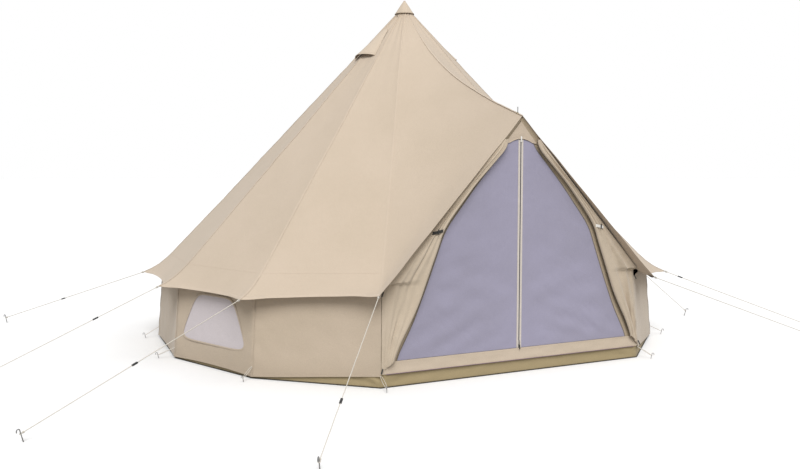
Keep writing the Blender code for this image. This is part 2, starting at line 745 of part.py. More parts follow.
def make_guy_slider(name, place, along):
    """A runner with a bore along the rope."""
    plastic = material("slider_plastic", (0.02, 0.02, 0.02), 0.5)
    slider = block(name, GUY_SLIDER, plastic, place, bevel=0.003)
    bore = rod(
        f"{name}_cutter",
        Vector((-GUY_SLIDER[0], 0, 0)),
        Vector((GUY_SLIDER[0], 0, 0)),
        SLIDER_BORE,
        plastic,
        12,
    )
    bore.parent = slider
    slider.rotation_euler = along.to_track_quat("X", "Z").to_euler()
    cut(slider, bore)


def make_guys():
    cord = material("guy_cord", (0.72, 0.70, 0.66), 0.75)
    for name, (seam, reach, peg_bearing, share) in GUYS.items():
        eave = guy_point(SEAMS[seam])
        ground = polar(EAVE_RADIUS + reach, peg_bearing, 0.0)
        away = ground - eave
        away.z = 0.0
        away.normalize()
        catch = make_peg(f"guy_peg_{name}", ground, away)
        along = (catch - eave).normalized()
        start = eave + along * ROPE_START
        end = catch - along * (PEG_RADIUS + 2 * ROPE_RADIUS)
        points = [start.lerp(end, step / (ROPE_POINTS - 1)) for step in range(ROPE_POINTS)]
        tube(f"guy_rope_{name}", points, ROPE_RADIUS, cord)
        make_guy_slider(f"guy_slider_{name}", start.lerp(end, share), along)


clear_scene()
make_roof()
make_porch()
make_cap()
make_vents()
make_walls(make_windows())
make_groundsheet()
make_door()
make_sill_and_gable()
make_flaps()
make_centre_pole()
make_door_frame()
make_guys()
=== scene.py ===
"""A canvas bell tent, pitched on a pale studio floor. Units are metres and +Z is up.

The sections follow the tent as it is pitched: groundsheet, centre pole, roof, cap, vents, walls,
windows, door frame, sill, mesh door, zip, canvas door, guy ropes and wall pegs.
A bearing is the angle round the centre pole from the door, towards +X, in degrees.
"""

import math

import bmesh
import bpy
from mathutils import Matrix, Vector, noise


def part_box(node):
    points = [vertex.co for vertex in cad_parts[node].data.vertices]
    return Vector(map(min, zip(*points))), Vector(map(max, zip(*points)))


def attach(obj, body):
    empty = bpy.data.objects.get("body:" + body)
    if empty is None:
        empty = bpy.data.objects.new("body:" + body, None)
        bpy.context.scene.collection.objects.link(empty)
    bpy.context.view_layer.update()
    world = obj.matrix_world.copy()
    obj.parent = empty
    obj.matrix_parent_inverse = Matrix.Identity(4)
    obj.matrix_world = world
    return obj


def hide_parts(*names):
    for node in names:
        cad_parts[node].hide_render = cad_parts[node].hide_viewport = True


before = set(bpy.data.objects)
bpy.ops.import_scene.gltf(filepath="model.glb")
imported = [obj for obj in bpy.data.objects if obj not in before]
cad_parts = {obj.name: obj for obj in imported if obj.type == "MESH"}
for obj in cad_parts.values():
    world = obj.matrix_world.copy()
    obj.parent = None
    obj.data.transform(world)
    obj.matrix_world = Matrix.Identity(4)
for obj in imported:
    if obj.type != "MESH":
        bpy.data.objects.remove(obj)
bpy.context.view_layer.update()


# ---------------------------------------------------------------- studio
# A pale floor without edges, soft light from all round, and two large soft lamps, one high to the
# left and a weak one from the right, so that the canvas is lit as on a bright overcast day.

view = bpy.data.cameras.new("view")
view.lens = 37.755
view.sensor_width = 36.0
camera = bpy.data.objects.new("view", view)
camera.location = (-3.820, -7.864, 1.650)
camera.rotation_euler = (math.radians(85.6453), 0.0, math.radians(-25.6097))
bpy.context.scene.collection.objects.link(camera)
bpy.context.scene.camera = camera
bpy.context.scene.view_settings.view_transform = "Standard"


def fill(tree, node, values):
    """Sets a node's inputs. A value is a number or colour, or another node's output, which is linked."""
    for key, value in values.items():
        if isinstance(value, bpy.types.NodeSocket):
            tree.links.new(value, node.inputs[key])
        else:
            node.inputs[key].default_value = value


def added(tree, kind, values=None, **settings):
    """A new node, with its settings and then its inputs."""
    node = tree.nodes.new(kind)
    for key, value in settings.items():
        setattr(node, key, value)
    fill(tree, node, values or {})
    return node


def blank(name, values):
    """A new material, its node tree and its shader, with these values on the shader."""
    mat = bpy.data.materials.new(name)
    mat.use_nodes = True
    shader = mat.node_tree.nodes["Principled BSDF"]
    fill(mat.node_tree, shader, values)
    return mat, mat.node_tree, shader


white = (1.0, 1.0, 1.0, 1.0)
sky = bpy.data.worlds.new("soft light")
sky.use_nodes = True
soft_light = sky.node_tree.nodes["Background"]
fill(sky.node_tree, soft_light, {"Strength": 0.48, "Color": white})
backdrop = added(sky.node_tree, "ShaderNodeBackground", {"Color": white})
ray = added(sky.node_tree, "ShaderNodeLightPath")
choice = {0: ray.outputs["Is Camera Ray"], 1: soft_light.outputs[0], 2: backdrop.outputs[0]}
either = added(sky.node_tree, "ShaderNodeMixShader", choice)
fill(sky.node_tree, sky.node_tree.nodes["World Output"], {"Surface": either.outputs[0]})
bpy.context.scene.world = sky

for name, strength, spread, bearing, height in (
    ("high_lamp", 2.6, 35.0, 336.0, 46.0),
    ("fill_lamp", 0.5, 60.0, 88.0, 58.0),
):
    bearing, height = math.radians(bearing), math.radians(height)
    lamp = bpy.data.lights.new(name, "SUN")
    lamp.energy = strength
    lamp.angle = math.radians(spread)
    level = math.cos(height)
    way = Vector((math.sin(bearing) * level, -math.cos(bearing) * level, math.sin(height)))
    lamp_object = bpy.data.objects.new(name, lamp)
    lamp_object.rotation_euler = way.to_track_quat("Z", "Y").to_euler()
    bpy.context.scene.collection.objects.link(lamp_object)

floor_mesh = bpy.data.meshes.new("studio_floor")
edge = bmesh.new()
bmesh.ops.create_circle(edge, cap_ends=True, segments=96, radius=160.0)
edge.to_mesh(floor_mesh)
edge.free()
floor = bpy.data.objects.new("studio_floor", floor_mesh)
floor.location.z = -0.001
bpy.context.scene.collection.objects.link(floor)
pale, pale_tree, pale_shader = blank("studio_floor", {"Roughness": 0.9})
tones = {
    "Factor": added(pale_tree, "ShaderNodeLightPath").outputs["Is Camera Ray"],
    "A": (0.45, 0.44, 0.42, 1.0),
    "B": (0.92, 0.92, 0.92, 1.0),
}
tone = added(pale_tree, "ShaderNodeMix", tones, data_type="RGBA")
fill(pale_tree, pale_shader, {"Base Color": tone.outputs["Result"]})
floor_mesh.materials.append(pale)


# ---------------------------------------------------------------- groundsheet
# The groundsheet is coated olive cloth: a thirteen-sided floor with a low wall sewn round it, which
# keeps water out. Its seam lies on the ground and is bound with a dark tape, whose near-black colour
# also paints the contact shadow along the ground.

DOOR_CORNER = 30.0  # bearing of the seam at the door's right side
GORE_ANGLE = 25.0
CORNERS = 13
SEAMS = [DOOR_CORNER + GORE_ANGLE * index for index in range(CORNERS)]
RIM_RADIUS = 2.485
RIM_HEIGHT = 0.112


def polar(radius, bearing, height):
    angle = math.radians(bearing)
    return Vector((radius * math.sin(angle), -radius * math.cos(angle), height))


def mix(low, high, share):
    return low + (high - low) * share


def ripple(point, size, depth, seed=0.0):
    """A soft unevenness of cloth, about size metres from bump to bump."""
    return depth * noise.noise(point / size + Vector((seed, 1.7 * seed, -seed)))


def placed(name, mesh):
    """An object with this mesh, in the scene."""
    obj = bpy.data.objects.new(name, mesh)
    bpy.context.scene.collection.objects.link(obj)
    return obj


def shown(name, mesh, mat, body="tent", smooth=True):
    """Puts a finished mesh in the scene, on its body and with its finish."""
    obj = placed(name, mesh)
    mesh.name = name
    mesh.materials.clear()
    mesh.materials.append(mat)
    if smooth:
        mesh.shade_smooth()
        mesh.set_sharp_from_angle(angle=math.radians(50.0))
    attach(obj, body)
    return obj


def sheet_mesh(columns, thickness, wrap=False):
    """Cloth through columns of points. Its UV map is in metres, and its thickness goes inwards."""
    rows = len(columns[0])
    count = len(columns)
    points = [point for column in columns for point in column]
    across = [0.0]
    middle = rows // 2
    for before, after in zip(columns, columns[1:] + columns[:1]):
        across.append(across[-1] + (after[middle] - before[middle]).length)
    down = []
    for column in columns:
        run = [0.0]
        for upper, lower in zip(column, column[1:]):
            run.append(run[-1] + (lower - upper).length)
        down.append(run)
    faces = []
    places = []
    for index in range(count if wrap else count - 1):
        after = (index + 1) % count
        for row in range(rows - 1):
            faces.append(
                (
                    index * rows + row,
                    index * rows + row + 1,
                    after * rows + row + 1,
                    after * rows + row,
                )
            )
            places.append((across[index], down[index][row]))
            places.append((across[index], down[index][row + 1]))
            places.append((across[index + 1], down[after][row + 1]))
            places.append((across[index + 1], down[after][row]))
    mesh = mapped(points, faces, places)
    return thickened(mesh, thickness, use_even_offset=True) if thickness else mesh


def mapped(points, faces, places):
    """A mesh with a UV map: one place for each corner of each face."""
    mesh = bpy.data.meshes.new("mesh")
    mesh.from_pydata([tuple(point) for point in points], [], faces)
    layer = mesh.uv_layers.new(name="cloth")
    for corner, place in zip(layer.data, places):
        corner.uv = place
    return mesh


def thickened(mesh, thickness, use_even_offset=False):
    """The mesh with a thickness on its inner side."""
    helper = placed("thickened", mesh)
    solid = helper.modifiers.new("thickness", "SOLIDIFY")
    solid.thickness = thickness
    solid.use_even_offset = use_even_offset
    return baked(helper)


def baked(helper):
    """The mesh of a helper object with its modifiers applied. The helper is removed."""
    graph = bpy.context.evaluated_depsgraph_get()
    mesh = bpy.data.meshes.new_from_object(helper.evaluated_get(graph))
    bpy.data.objects.remove(helper, do_unlink=True)
    return mesh


def ended(shape):
    """A bmesh written out as a mesh."""
    mesh = bpy.data.meshes.new("mesh")
    shape.to_mesh(mesh)
    shape.free()
    return mesh


def normals_of(columns, wrap=False):
    """The outward direction at each point of a sheet."""
    count = len(columns)
    rows = len(columns[0])
    found = []
    for index in range(count):
        left = columns[index - 1] if index or wrap else columns[0]
        right = columns[(index + 1) % count] if index + 1 < count or wrap else columns[-1]
        line = []
        for row in range(rows):
            down = columns[index][min(row + 1, rows - 1)] - columns[index][max(row - 1, 0)]
            line.append(down.cross(right[row] - left[row]).normalized())
        found.append(line)
    return found


def raised(columns, height, wrap=False):
    """A copy of a sheet moved outwards. height is a number, or a function of point, column and row."""
    moved = []
    for index, (column, line) in enumerate(zip(columns, normals_of(columns, wrap))):
        new = []
        for row, (point, way) in enumerate(zip(column, line)):
            rise = height(point, index, row) if callable(height) else height
            new.append(point + way * rise)
        moved.append(new)
    return moved


def shaded(tree, amount, *stops):
    """Colours along a ramp, from pairs of a place and a colour."""
    ramp = added(tree, "ShaderNodeValToRGB", {"Fac": amount})
    for element, (place, colour) in zip(ramp.color_ramp.elements, stops):
        element.position = place
        element.color = (*colour, 1.0)
    return ramp.outputs["Color"]


def noisy(tree, place, scale, detail, roughness=0.5):
    values = {"Vector": place, "Scale": scale, "Detail": detail, "Roughness": roughness}
    return added(tree, "ShaderNodeTexNoise", values).outputs["Fac"]


def bumped(tree, shader, *layers):
    """Bumps one on another, each a height, a strength and a distance."""
    values = {}
    for height, strength, distance in layers:
        values |= {"Height": height, "Strength": strength, "Distance": distance}
        values["Normal"] = added(tree, "ShaderNodeBump", values).outputs["Normal"]
    fill(tree, shader, {"Normal": values["Normal"]})


def woven(name, colour, thread, roughness=0.85, sheen=0.25, vary=0.05, crumple=0.25, darkening=0.0):
    """A plain weave: threads at the cloth's own pitch, slubs, soft crumples and uneven dye."""
    finish = {"Roughness": roughness, "Sheen Weight": sheen}
    finish |= {"Sheen Roughness": 0.5, "Specular IOR Level": 0.25}
    mat, tree, shader = blank(name, finish)
    place = added(tree, "ShaderNodeTexCoord").outputs["Object"]
    cloth_map = added(tree, "ShaderNodeUVMap", uv_map="cloth").outputs["UV"]
    wave = {"Vector": cloth_map, "Scale": 0.314 / thread, "Distortion": 0.6, "Detail": 1.0}
    weft = added(tree, "ShaderNodeTexWave", wave, bands_direction="X").outputs["Fac"]
    warp = added(tree, "ShaderNodeTexWave", wave, bands_direction="Y").outputs["Fac"]
    cross = added(tree, "ShaderNodeMath", {0: weft, 1: warp}, operation="MULTIPLY").outputs[0]
    slub = noisy(tree, place, 140.0, 3.0)
    dye = noisy(tree, place, 1.6, 5.0, 0.6)
    low = [channel * (1.0 - vary) for channel in colour]
    high = [min(channel * (1.0 + vary * 0.6), 1.0) for channel in colour]
    low[2] *= 1.0 - vary * 0.5
    shades = shaded(tree, dye, (0.3, low), (0.7, high))
    grain = added(tree, "ShaderNodeMath", {0: cross, 1: slub}, operation="ADD").outputs[0]
    threads = {"Factor": 0.16, "A": shades, "B": grain}
    threads = added(tree, "ShaderNodeMix", threads, data_type="RGBA", blend_type="MULTIPLY")
    base = threads.outputs["Result"]
    # Below 0.22 m the colour is mixed towards dark brown in patches, more strongly the lower it is.
    if darkening:
        height = added(tree, "ShaderNodeSeparateXYZ", {"Vector": place}).outputs["Z"]
        low_fade = {"Value": height, "From Min": 0.0, "From Max": 0.22, "To Min": darkening, "To Max": 0.0}
        low_fade = added(tree, "ShaderNodeMapRange", low_fade).outputs["Result"]
        patchy = added(tree, "ShaderNodeMath", {0: low_fade, 1: dye}, operation="MULTIPLY")
        low_tone = {"Factor": patchy.outputs[0], "A": base, "B": (0.20, 0.15, 0.09, 1.0)}
        base = added(tree, "ShaderNodeMix", low_tone, data_type="RGBA").outputs["Result"]
    fill(tree, shader, {"Base Color": base})
    folds = noisy(tree, place, 9.0, 4.0, 0.45)
    bumped(tree, shader, (cross, 0.35, thread * 0.3), (folds, crumple, 0.02))
    return mat


coated_olive = woven("coated_olive", (0.44, 0.35, 0.20), 0.0012, 0.6, 0.1, 0.10, 0.5, darkening=0.5)
# Near-black tape; it also paints the contact shadow along the groundsheet's foot and the shadow beside the
# right door roll.
dark_tape_and_shade = woven("dark_tape_and_shade", (0.06, 0.05, 0.035), 0.0008, 0.8, 0.1)


def outline_points(radius, height, per_panel=8):
    """Points round the thirteen-sided plan, door side last, and how far each is from its two corners."""
    places = []
    for index in range(CORNERS):
        start = polar(radius, SEAMS[index], height)
        end = polar(radius, SEAMS[(index + 1) % CORNERS], height)
        side = (end - start).length
        for step in range(per_panel):
            share = step / per_panel
            places.append((start.lerp(end, share), index, share * side, (1 - share) * side))
    return places


floor_columns = []
for outer, _, _, _ in outline_points(RIM_RADIUS, 0.0):
    column = []
    for step in range(25):
        point = outer * (step / 24)
        point.z = 0.0017 + ripple(point, 0.23, 0.0008) + ripple(point, 0.07, 0.0003, 3.0)
        column.append(point)
    floor_columns.append(column)
floor_cloth = sheet_mesh(floor_columns, 0.0, wrap=True)
closing = bmesh.new()
closing.from_mesh(floor_cloth)
bmesh.ops.remove_doubles(closing, verts=closing.verts, dist=0.0001)
bmesh.ops.recalc_face_normals(closing, faces=closing.faces)
if sum(face.normal.z for face in closing.faces) < 0:
    bmesh.ops.reverse_faces(closing, faces=closing.faces)
closing.to_mesh(floor_cloth)
closing.free()
floor_cloth = thickened(floor_cloth, 0.0008)
groundsheet_floor = shown("groundsheet_floor_cloth", floor_cloth, coated_olive)
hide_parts("groundsheet_floor")

rim_columns = []
for foot, index, here, there in outline_points(RIM_RADIUS, 0.0, 40):
    inward = -Vector((foot.x, foot.y, 0.0)).normalized()
    door_side = index == CORNERS - 1
    column = []
    for row in range(15):
        share = row / 14
        height = mix(RIM_HEIGHT, 0.0035, share)
        point = foot + inward * 0.003 * math.sin(math.pi * share)
        point.z = height
        for gap, turn in ((here, 0.0), (there, 1.3)):
            fan = math.atan2(height + 0.01, gap + 0.03)
            near = math.exp(-gap / 0.55) * math.sin(math.pi * min(share * 1.15, 1.0))
            point += inward * 0.0085 * near * math.sin(7.0 * fan + turn + index)
        point += inward * ripple(point, 0.12, 0.004, 2.0) * math.sin(math.pi * share)
        point += inward * (0.004 if door_side else 0.002)
        column.append(point)
    rim_columns.append(column)
rim_cloth = sheet_mesh(rim_columns, 0.0009, wrap=True)
groundsheet_wall = shown("groundsheet_wall_cloth", rim_cloth, coated_olive)
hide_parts("groundsheet_rim")


def round_tube(points, radius, sides=8, wrap=False, flat=1.0, across=None):
    """A tube along points, or an oval one, thinner across the given direction. Its UVs run along it."""
    count = len(points)
    rings = []
    run = [0.0]
    for before, after in zip(points, points[1:] + points[:1]):
        run.append(run[-1] + (after - before).length)
    side = None
    for index, point in enumerate(points):
        before = points[index - 1] if index or wrap else point
        after = points[(index + 1) % count] if index + 1 < count or wrap else point
        along = (after - before).normalized()
        if across is not None:
            side = across(point) if callable(across) else across
        elif side is None:
            side = along.orthogonal()
        side = (side - along * side.dot(along)).normalized()
        other = along.cross(side)
        ring = []
        for step in range(sides):
            angle = math.tau * step / sides
            ring.append(point + (side * flat * math.cos(angle) + other * math.sin(angle)) * radius)
        rings.append(ring)
    faces = []
    places = []
    for index in range(count if wrap else count - 1):
        after = (index + 1) % count
        for step in range(sides):
            nearby = (step + 1) % sides
            faces.append(
                (
                    index * sides + step,
                    index * sides + nearby,
                    after * sides + nearby,
                    after * sides + step,
                )
            )
            low, high = (math.tau * radius * place / sides for place in (step, step + 1))
            places += [(run[index], low), (run[index], high), (run[index + 1], high)]
            places.append((run[index + 1], low))
    if not wrap:
        faces.append(tuple(range(sides - 1, -1, -1)))
        faces.append(tuple(range((count - 1) * sides, count * sides)))
        places += [(0.0, 0.0)] * 2 * sides
    return mapped([point for ring in rings for point in ring], faces, places)


def joined(meshes):
    """Several meshes in one, with their UV maps."""
    both = bmesh.new()
    for mesh in meshes:
        both.from_mesh(mesh)
        bpy.data.meshes.remove(mesh)
    return ended(both)


# The binding's near-black is real tape and painted contact shadow on the floor.
binding = [point for point, _, _, _ in outline_points(RIM_RADIUS + 0.002, 0.0045, 6)]
binding_mesh = round_tube(binding, 0.0042, 6, wrap=True)
shown("groundsheet_binding", binding_mesh, dark_tape_and_shade)


# ---------------------------------------------------------------- centre pole
# Two galvanised tubes that plug together, 38 mm below and 34 mm above, on a rubber foot. A rubber
# cap keeps the top from wearing through the canvas, and a spring button locks the joint.


def metal(name, colour, roughness, darkening=0.08):
    """Drawn or dipped metal with cloudy tarnish."""
    mat, tree, shader = blank(name, {"Metallic": 1.0})
    place = added(tree, "ShaderNodeTexCoord").outputs["Object"]
    cloud = noisy(tree, place, 38.0, 6.0)
    dull = [channel * (1 - 3 * darkening) for channel in colour]
    rough = {"Value": cloud, "To Min": roughness * 0.8, "To Max": roughness * 1.35}
    rough = added(tree, "ShaderNodeMapRange", rough).outputs["Result"]
    tone = shaded(tree, cloud, (0.35, dull), (0.70, colour))
    fill(tree, shader, {"Base Color": tone, "Roughness": rough})
    bumped(tree, shader, (cloud, 0.2, 0.0005))
    return mat


def moulded(name, colour, roughness):
    """Moulded rubber or plastic with a fine grain and dusty high spots."""
    mat, tree, shader = blank(name, {"Roughness": roughness})
    place = added(tree, "ShaderNodeTexCoord").outputs["Object"]
    grain = noisy(tree, place, 420.0, 4.0)
    dusty = [channel + 0.03 for channel in colour]
    dust = {"Factor": grain, "A": (*colour, 1.0), "B": (*dusty, 1.0)}
    dust = added(tree, "ShaderNodeMix", dust, data_type="RGBA").outputs["Result"]
    fill(tree, shader, {"Base Color": dust})
    bumped(tree, shader, (grain, 0.3, 0.0003))
    return mat


def refinish(mat, *nodes):
    """Gives nodes of the frame a new material."""
    for node in nodes:
        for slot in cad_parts[node].material_slots:
            slot.material = mat


galvanised = metal("galvanised_tube", (0.62, 0.63, 0.64), 0.38)
black_rubber = moulded("black_rubber", (0.025, 0.025, 0.025), 0.75)
refinish(galvanised, "centre_pole_lower", "centre_pole_upper")
refinish(black_rubber, "centre_pole_foot", "centre_pole_cap")

collar_profile = [(0.0178, 1.655), (0.0205, 1.657), (0.0205, 1.6965), (0.0178, 1.6985)]
collar_spin = bmesh.new()
collar_line = [collar_spin.verts.new((radius, 0.0, height)) for radius, height in collar_profile]
collar_edges = [collar_spin.edges.new(pair) for pair in zip(collar_line, collar_line[1:])]
collar_edges.append(collar_spin.edges.new((collar_line[-1], collar_line[0])))
bmesh.ops.spin(
    collar_spin,
    geom=collar_line + collar_edges,
    cent=(0.0, 0.0, 0.0),
    axis=(0.0, 0.0, 1.0),
    angle=math.tau,
    steps=40,
)
bmesh.ops.remove_doubles(collar_spin, verts=collar_spin.verts, dist=0.0001)
bmesh.ops.recalc_face_normals(collar_spin, faces=collar_spin.faces)
bmesh.ops.create_uvsphere(
    collar_spin,
    u_segments=16,
    v_segments=8,
    radius=0.0045,
    matrix=Matrix.Translation((0.0, -0.0195, 1.62)),
)
shown("centre_pole_collar", ended(collar_spin), galvanised)


# ---------------------------------------------------------------- roof canvas
# The roof is one cotton canvas, sewn from twelve panels and two porch panels that reach out over the
# door. It hangs from the pole and is stretched at every seam, so its eave runs in shallow curves.

APEX_HEIGHT = 3.30
APEX_RADIUS = 0.03
KNEE_RADIUS = 2.45
KNEE_HEIGHT = 0.735
EAVE_RADIUS = 2.63
EAVE_HEIGHT = 0.65
EAVE_SCALLOP = 0.085
CORNER_LIFT = 0.075
GORE_SAG = 0.012
DOOR_Y = -2.150064
TIP_REACH = 2.170064
TIP_HEIGHT = 2.09
RIDGE_SAG = 1.15
ROOF_ROWS = 64
FLAP_ROWS = 9
ROOF_CLOTH = 0.0013
SEAM_WIDTH = 0.020
SEAM_STITCH = 0.0068  # from a seam's middle to each row of its stitches
SEAM_RISE = 0.0012
SEAM_CLOTH = 0.0005


def corner_lift(bearing):
    return CORNER_LIFT if bearing in (SEAMS[0], SEAMS[-1]) else 0.0


def guy_point(bearing):
    return polar(EAVE_RADIUS, bearing, EAVE_HEIGHT + corner_lift(bearing))


def seam_line(bearing):
    """Points down a roof seam, from the apex to the knee over the wall and out to the guy point."""
    knee = polar(KNEE_RADIUS, bearing, KNEE_HEIGHT + corner_lift(bearing) / 2)
    apex = polar(APEX_RADIUS, bearing, APEX_HEIGHT)
    line = [apex.lerp(knee, row / ROOF_ROWS) for row in range(ROOF_ROWS)]
    end = guy_point(bearing)
    line += [knee.lerp(end, row / FLAP_ROWS) for row in range(FLAP_ROWS + 1)]
    return line


def ridge_line():
    """Points down the porch ridge, which sags between the apex and the tip of the door frame."""
    line = []
    total = ROOF_ROWS + FLAP_ROWS
    for row in range(total + 1):
        share = row / total
        sag = RIDGE_SAG * share * (1 - share) * (1 - 0.6 * share)
        height = mix(APEX_HEIGHT, TIP_HEIGHT, share) - sag
        line.append(Vector((0.0, -mix(APEX_RADIUS, TIP_REACH, share), height)))
    return line


roof_columns = []
roof_seams = {}
PANEL_STEPS = 22
PORCH_STEPS = 26
for bearing in SEAMS[:-1]:
    first, second = seam_line(bearing), seam_line(bearing + GORE_ANGLE)
    inward = -polar(1.0, bearing + GORE_ANGLE / 2, 0.0)
    roof_seams[bearing] = len(roof_columns)
    for step in range(PANEL_STEPS):
        across = 0.5 - 0.5 * math.cos(math.pi * step / PANEL_STEPS)
        across = mix(step / PANEL_STEPS, across, 0.5)
        column = [a.lerp(b, across) for a, b in zip(first, second)]
        reach = 1 - abs(2 * across - 1) ** 2.6
        for row, point in enumerate(column):
            if row < ROOF_ROWS:
                sag = GORE_SAG * 4 * across * (1 - across) * math.sin(math.pi * row / ROOF_ROWS) ** 0.6
                point += inward * sag
            else:
                point += inward * EAVE_SCALLOP * reach * (row - ROOF_ROWS) / FLAP_ROWS
        roof_columns.append(column)
roof_seams[SEAMS[-1]] = len(roof_columns)
porch_left, ridge, porch_right = seam_line(SEAMS[-1]), ridge_line(), seam_line(SEAMS[0])
for first, second in ((porch_left, ridge), (ridge, porch_right)):
    if second is porch_right:
        roof_seams["ridge"] = len(roof_columns)
    for step in range(PORCH_STEPS):
        roof_columns.append([a.lerp(b, step / PORCH_STEPS) for a, b in zip(first, second)])

# The knee is pulled into a soft bend, and each seam draws the canvas up at its guy point.
for column in roof_columns:
    for _ in range(14):
        for row in range(ROOF_ROWS - 4, ROOF_ROWS + 5):
            column[row] = column[row] * 0.5 + (column[row - 1] + column[row + 1]) * 0.25


def roof_rise(point, index, row):
    """How far the cloth stands off its true shape: puckers along seams, folds from the apex, soft ripples."""
    if index < roof_seams[SEAMS[-1]]:
        share = (index % PANEL_STEPS) / PANEL_STEPS
        folds = math.cos(math.tau * share * 3.0)
        aside = min(share, 1 - share)
    else:
        share = ((index - roof_seams[SEAMS[-1]]) % PORCH_STEPS) / PORCH_STEPS
        folds = math.cos(math.tau * share * 2.0 + 0.8)
        aside = min(share, 1 - share) * 1.6
    down = row / (ROOF_ROWS + FLAP_ROWS)
    breadth = 1.1 * down
    from_seam = aside * breadth
    rise = 0.0052 * folds * math.exp(-down / 0.16) * min(down / 0.02, 1.0)
    rise += ripple(point, 0.055, 0.0030) * math.exp(-((from_seam / 0.05) ** 2)) * min(down * 6, 1.0)
    rise += ripple(point, 0.75, 0.008, 5.0) * math.sin(math.pi * min(down * 1.1, 1.0))
    rise += ripple(point, 0.21, 0.0028, 9.0) * math.sin(math.pi * min(down * 1.1, 1.0))
    near_eave = math.exp(-(1 - down) / 0.10)
    rise += 0.0035 * near_eave * math.cos(math.tau * share * 4.0) * (1 - min(share, 1 - share) * 2)
    return rise - 0.002


roof_columns = raised(roof_columns, roof_rise, wrap=True)
canvas = woven("cotton_canvas", (0.555, 0.457, 0.358), 0.0011, vary=0.035, crumple=0.16)
roof_mesh = sheet_mesh(roof_columns, ROOF_CLOTH, wrap=True)
roof_sheet = shown("roof_sheet", roof_mesh, canvas)
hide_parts("roof_canvas", "roof_porch")


def seam_strip(middle, ways, ups):
    """A felled seam along a line: a flat strip with its middle a little raised. ways point across it."""
    columns = []
    for share, high in ((-0.5, 0.0), (-0.47, 0.7), (0.0, 1.0), (0.47, 0.7), (0.5, 0.0)):
        column = []
        for point, way, up in zip(middle, ways, ups):
            column.append(point + way * SEAM_WIDTH * share + up * (0.0002 + SEAM_RISE * high))
        columns.append(column)
    return sheet_mesh(columns, SEAM_CLOTH)


def stitch_tree():
    """Geometry nodes that lay one short thread at each step along a mesh's edges."""
    tree = bpy.data.node_groups.new("stitches", "GeometryNodeTree")
    face = tree.interface
    face.new_socket("Geometry", in_out="INPUT", socket_type="NodeSocketGeometry")
    for label in ("Pitch", "Length", "Thickness"):
        face.new_socket(label, in_out="INPUT", socket_type="NodeSocketFloat")
    face.new_socket("Material", in_out="INPUT", socket_type="NodeSocketMaterial")
    face.new_socket("Geometry", in_out="OUTPUT", socket_type="NodeSocketGeometry")
    given = added(tree, "NodeGroupInput").outputs
    line = added(tree, "GeometryNodeMeshToCurve", {"Mesh": given["Geometry"]})
    spacing = {"Curve": line.outputs[0], "Length": given["Pitch"]}
    spaced = added(tree, "GeometryNodeResampleCurve", spacing, mode="LENGTH")
    tangent = added(tree, "GeometryNodeInputTangent").outputs[0]
    turn = added(tree, "FunctionNodeAlignRotationToVector", {"Vector": tangent}, axis="X")
    size = {"X": given["Length"], "Y": given["Thickness"], "Z": given["Thickness"]}
    size = added(tree, "ShaderNodeCombineXYZ", size).outputs[0]
    thread = added(tree, "GeometryNodeMeshCube", {"Size": size}).outputs["Mesh"]
    laid = {"Points": spaced.outputs[0], "Instance": thread, "Rotation": turn.outputs[0]}
    laid = added(tree, "GeometryNodeInstanceOnPoints", laid).outputs[0]
    real = added(tree, "GeometryNodeRealizeInstances", {"Geometry": laid}).outputs[0]
    finish = {"Geometry": real, "Material": given["Material"]}
    finish = added(tree, "GeometryNodeSetMaterial", finish).outputs[0]
    added(tree, "NodeGroupOutput", {"Geometry": finish})
    return tree


stitches = stitch_tree()


def sewn(name, lines, mat, body="tent", pitch=0.009, length=0.0062, thickness=0.0008):
    """Rows of stitches along lines of points."""
    points = [tuple(point) for line in lines for point in line]
    edges = []
    start = 0
    for line in lines:
        edges += [(start + index, start + index + 1) for index in range(len(line) - 1)]
        start += len(line)
    guide = bpy.data.meshes.new(name)
    guide.from_pydata(points, edges, [])
    helper = placed(name, guide)
    laying = helper.modifiers.new("stitches", "NODES")
    laying.node_group = stitches
    values = {"Pitch": pitch, "Length": length, "Thickness": thickness, "Material": mat}
    for item in stitches.interface.items_tree:
        if item.in_out == "INPUT" and item.name in values:
            laying[item.identifier] = values[item.name]
    return shown(name, baked(helper), mat, body, smooth=False)


pale_thread = woven("pale_thread", (0.60, 0.50, 0.40), 0.0006, vary=0.02)
seam_canvas = woven("seam_canvas", (0.575, 0.475, 0.375), 0.0011, vary=0.03, crumple=0.1)
roof_ups = normals_of(roof_columns, wrap=True)
seam_strips = []
seam_stitches = []
for bearing, index in roof_seams.items():
    column = roof_columns[index]
    before = roof_columns[index - 1]
    after = roof_columns[(index + 1) % len(roof_columns)]
    ways = []
    ups = roof_ups[index]
    for row in range(len(column)):
        way = after[row] - before[row]
        ways.append(way.normalized() * min(1.0, way.length / 0.022))
    seam_strips.append(seam_strip(column, ways, ups))
    for aside in (-SEAM_STITCH, SEAM_STITCH):
        seam_stitches.append(
            [
                point + way * aside + up * 0.0011
                for point, way, up in list(zip(column, ways, ups))[3:]
            ]
        )
shown("roof_seam_strips", joined(seam_strips), seam_canvas)

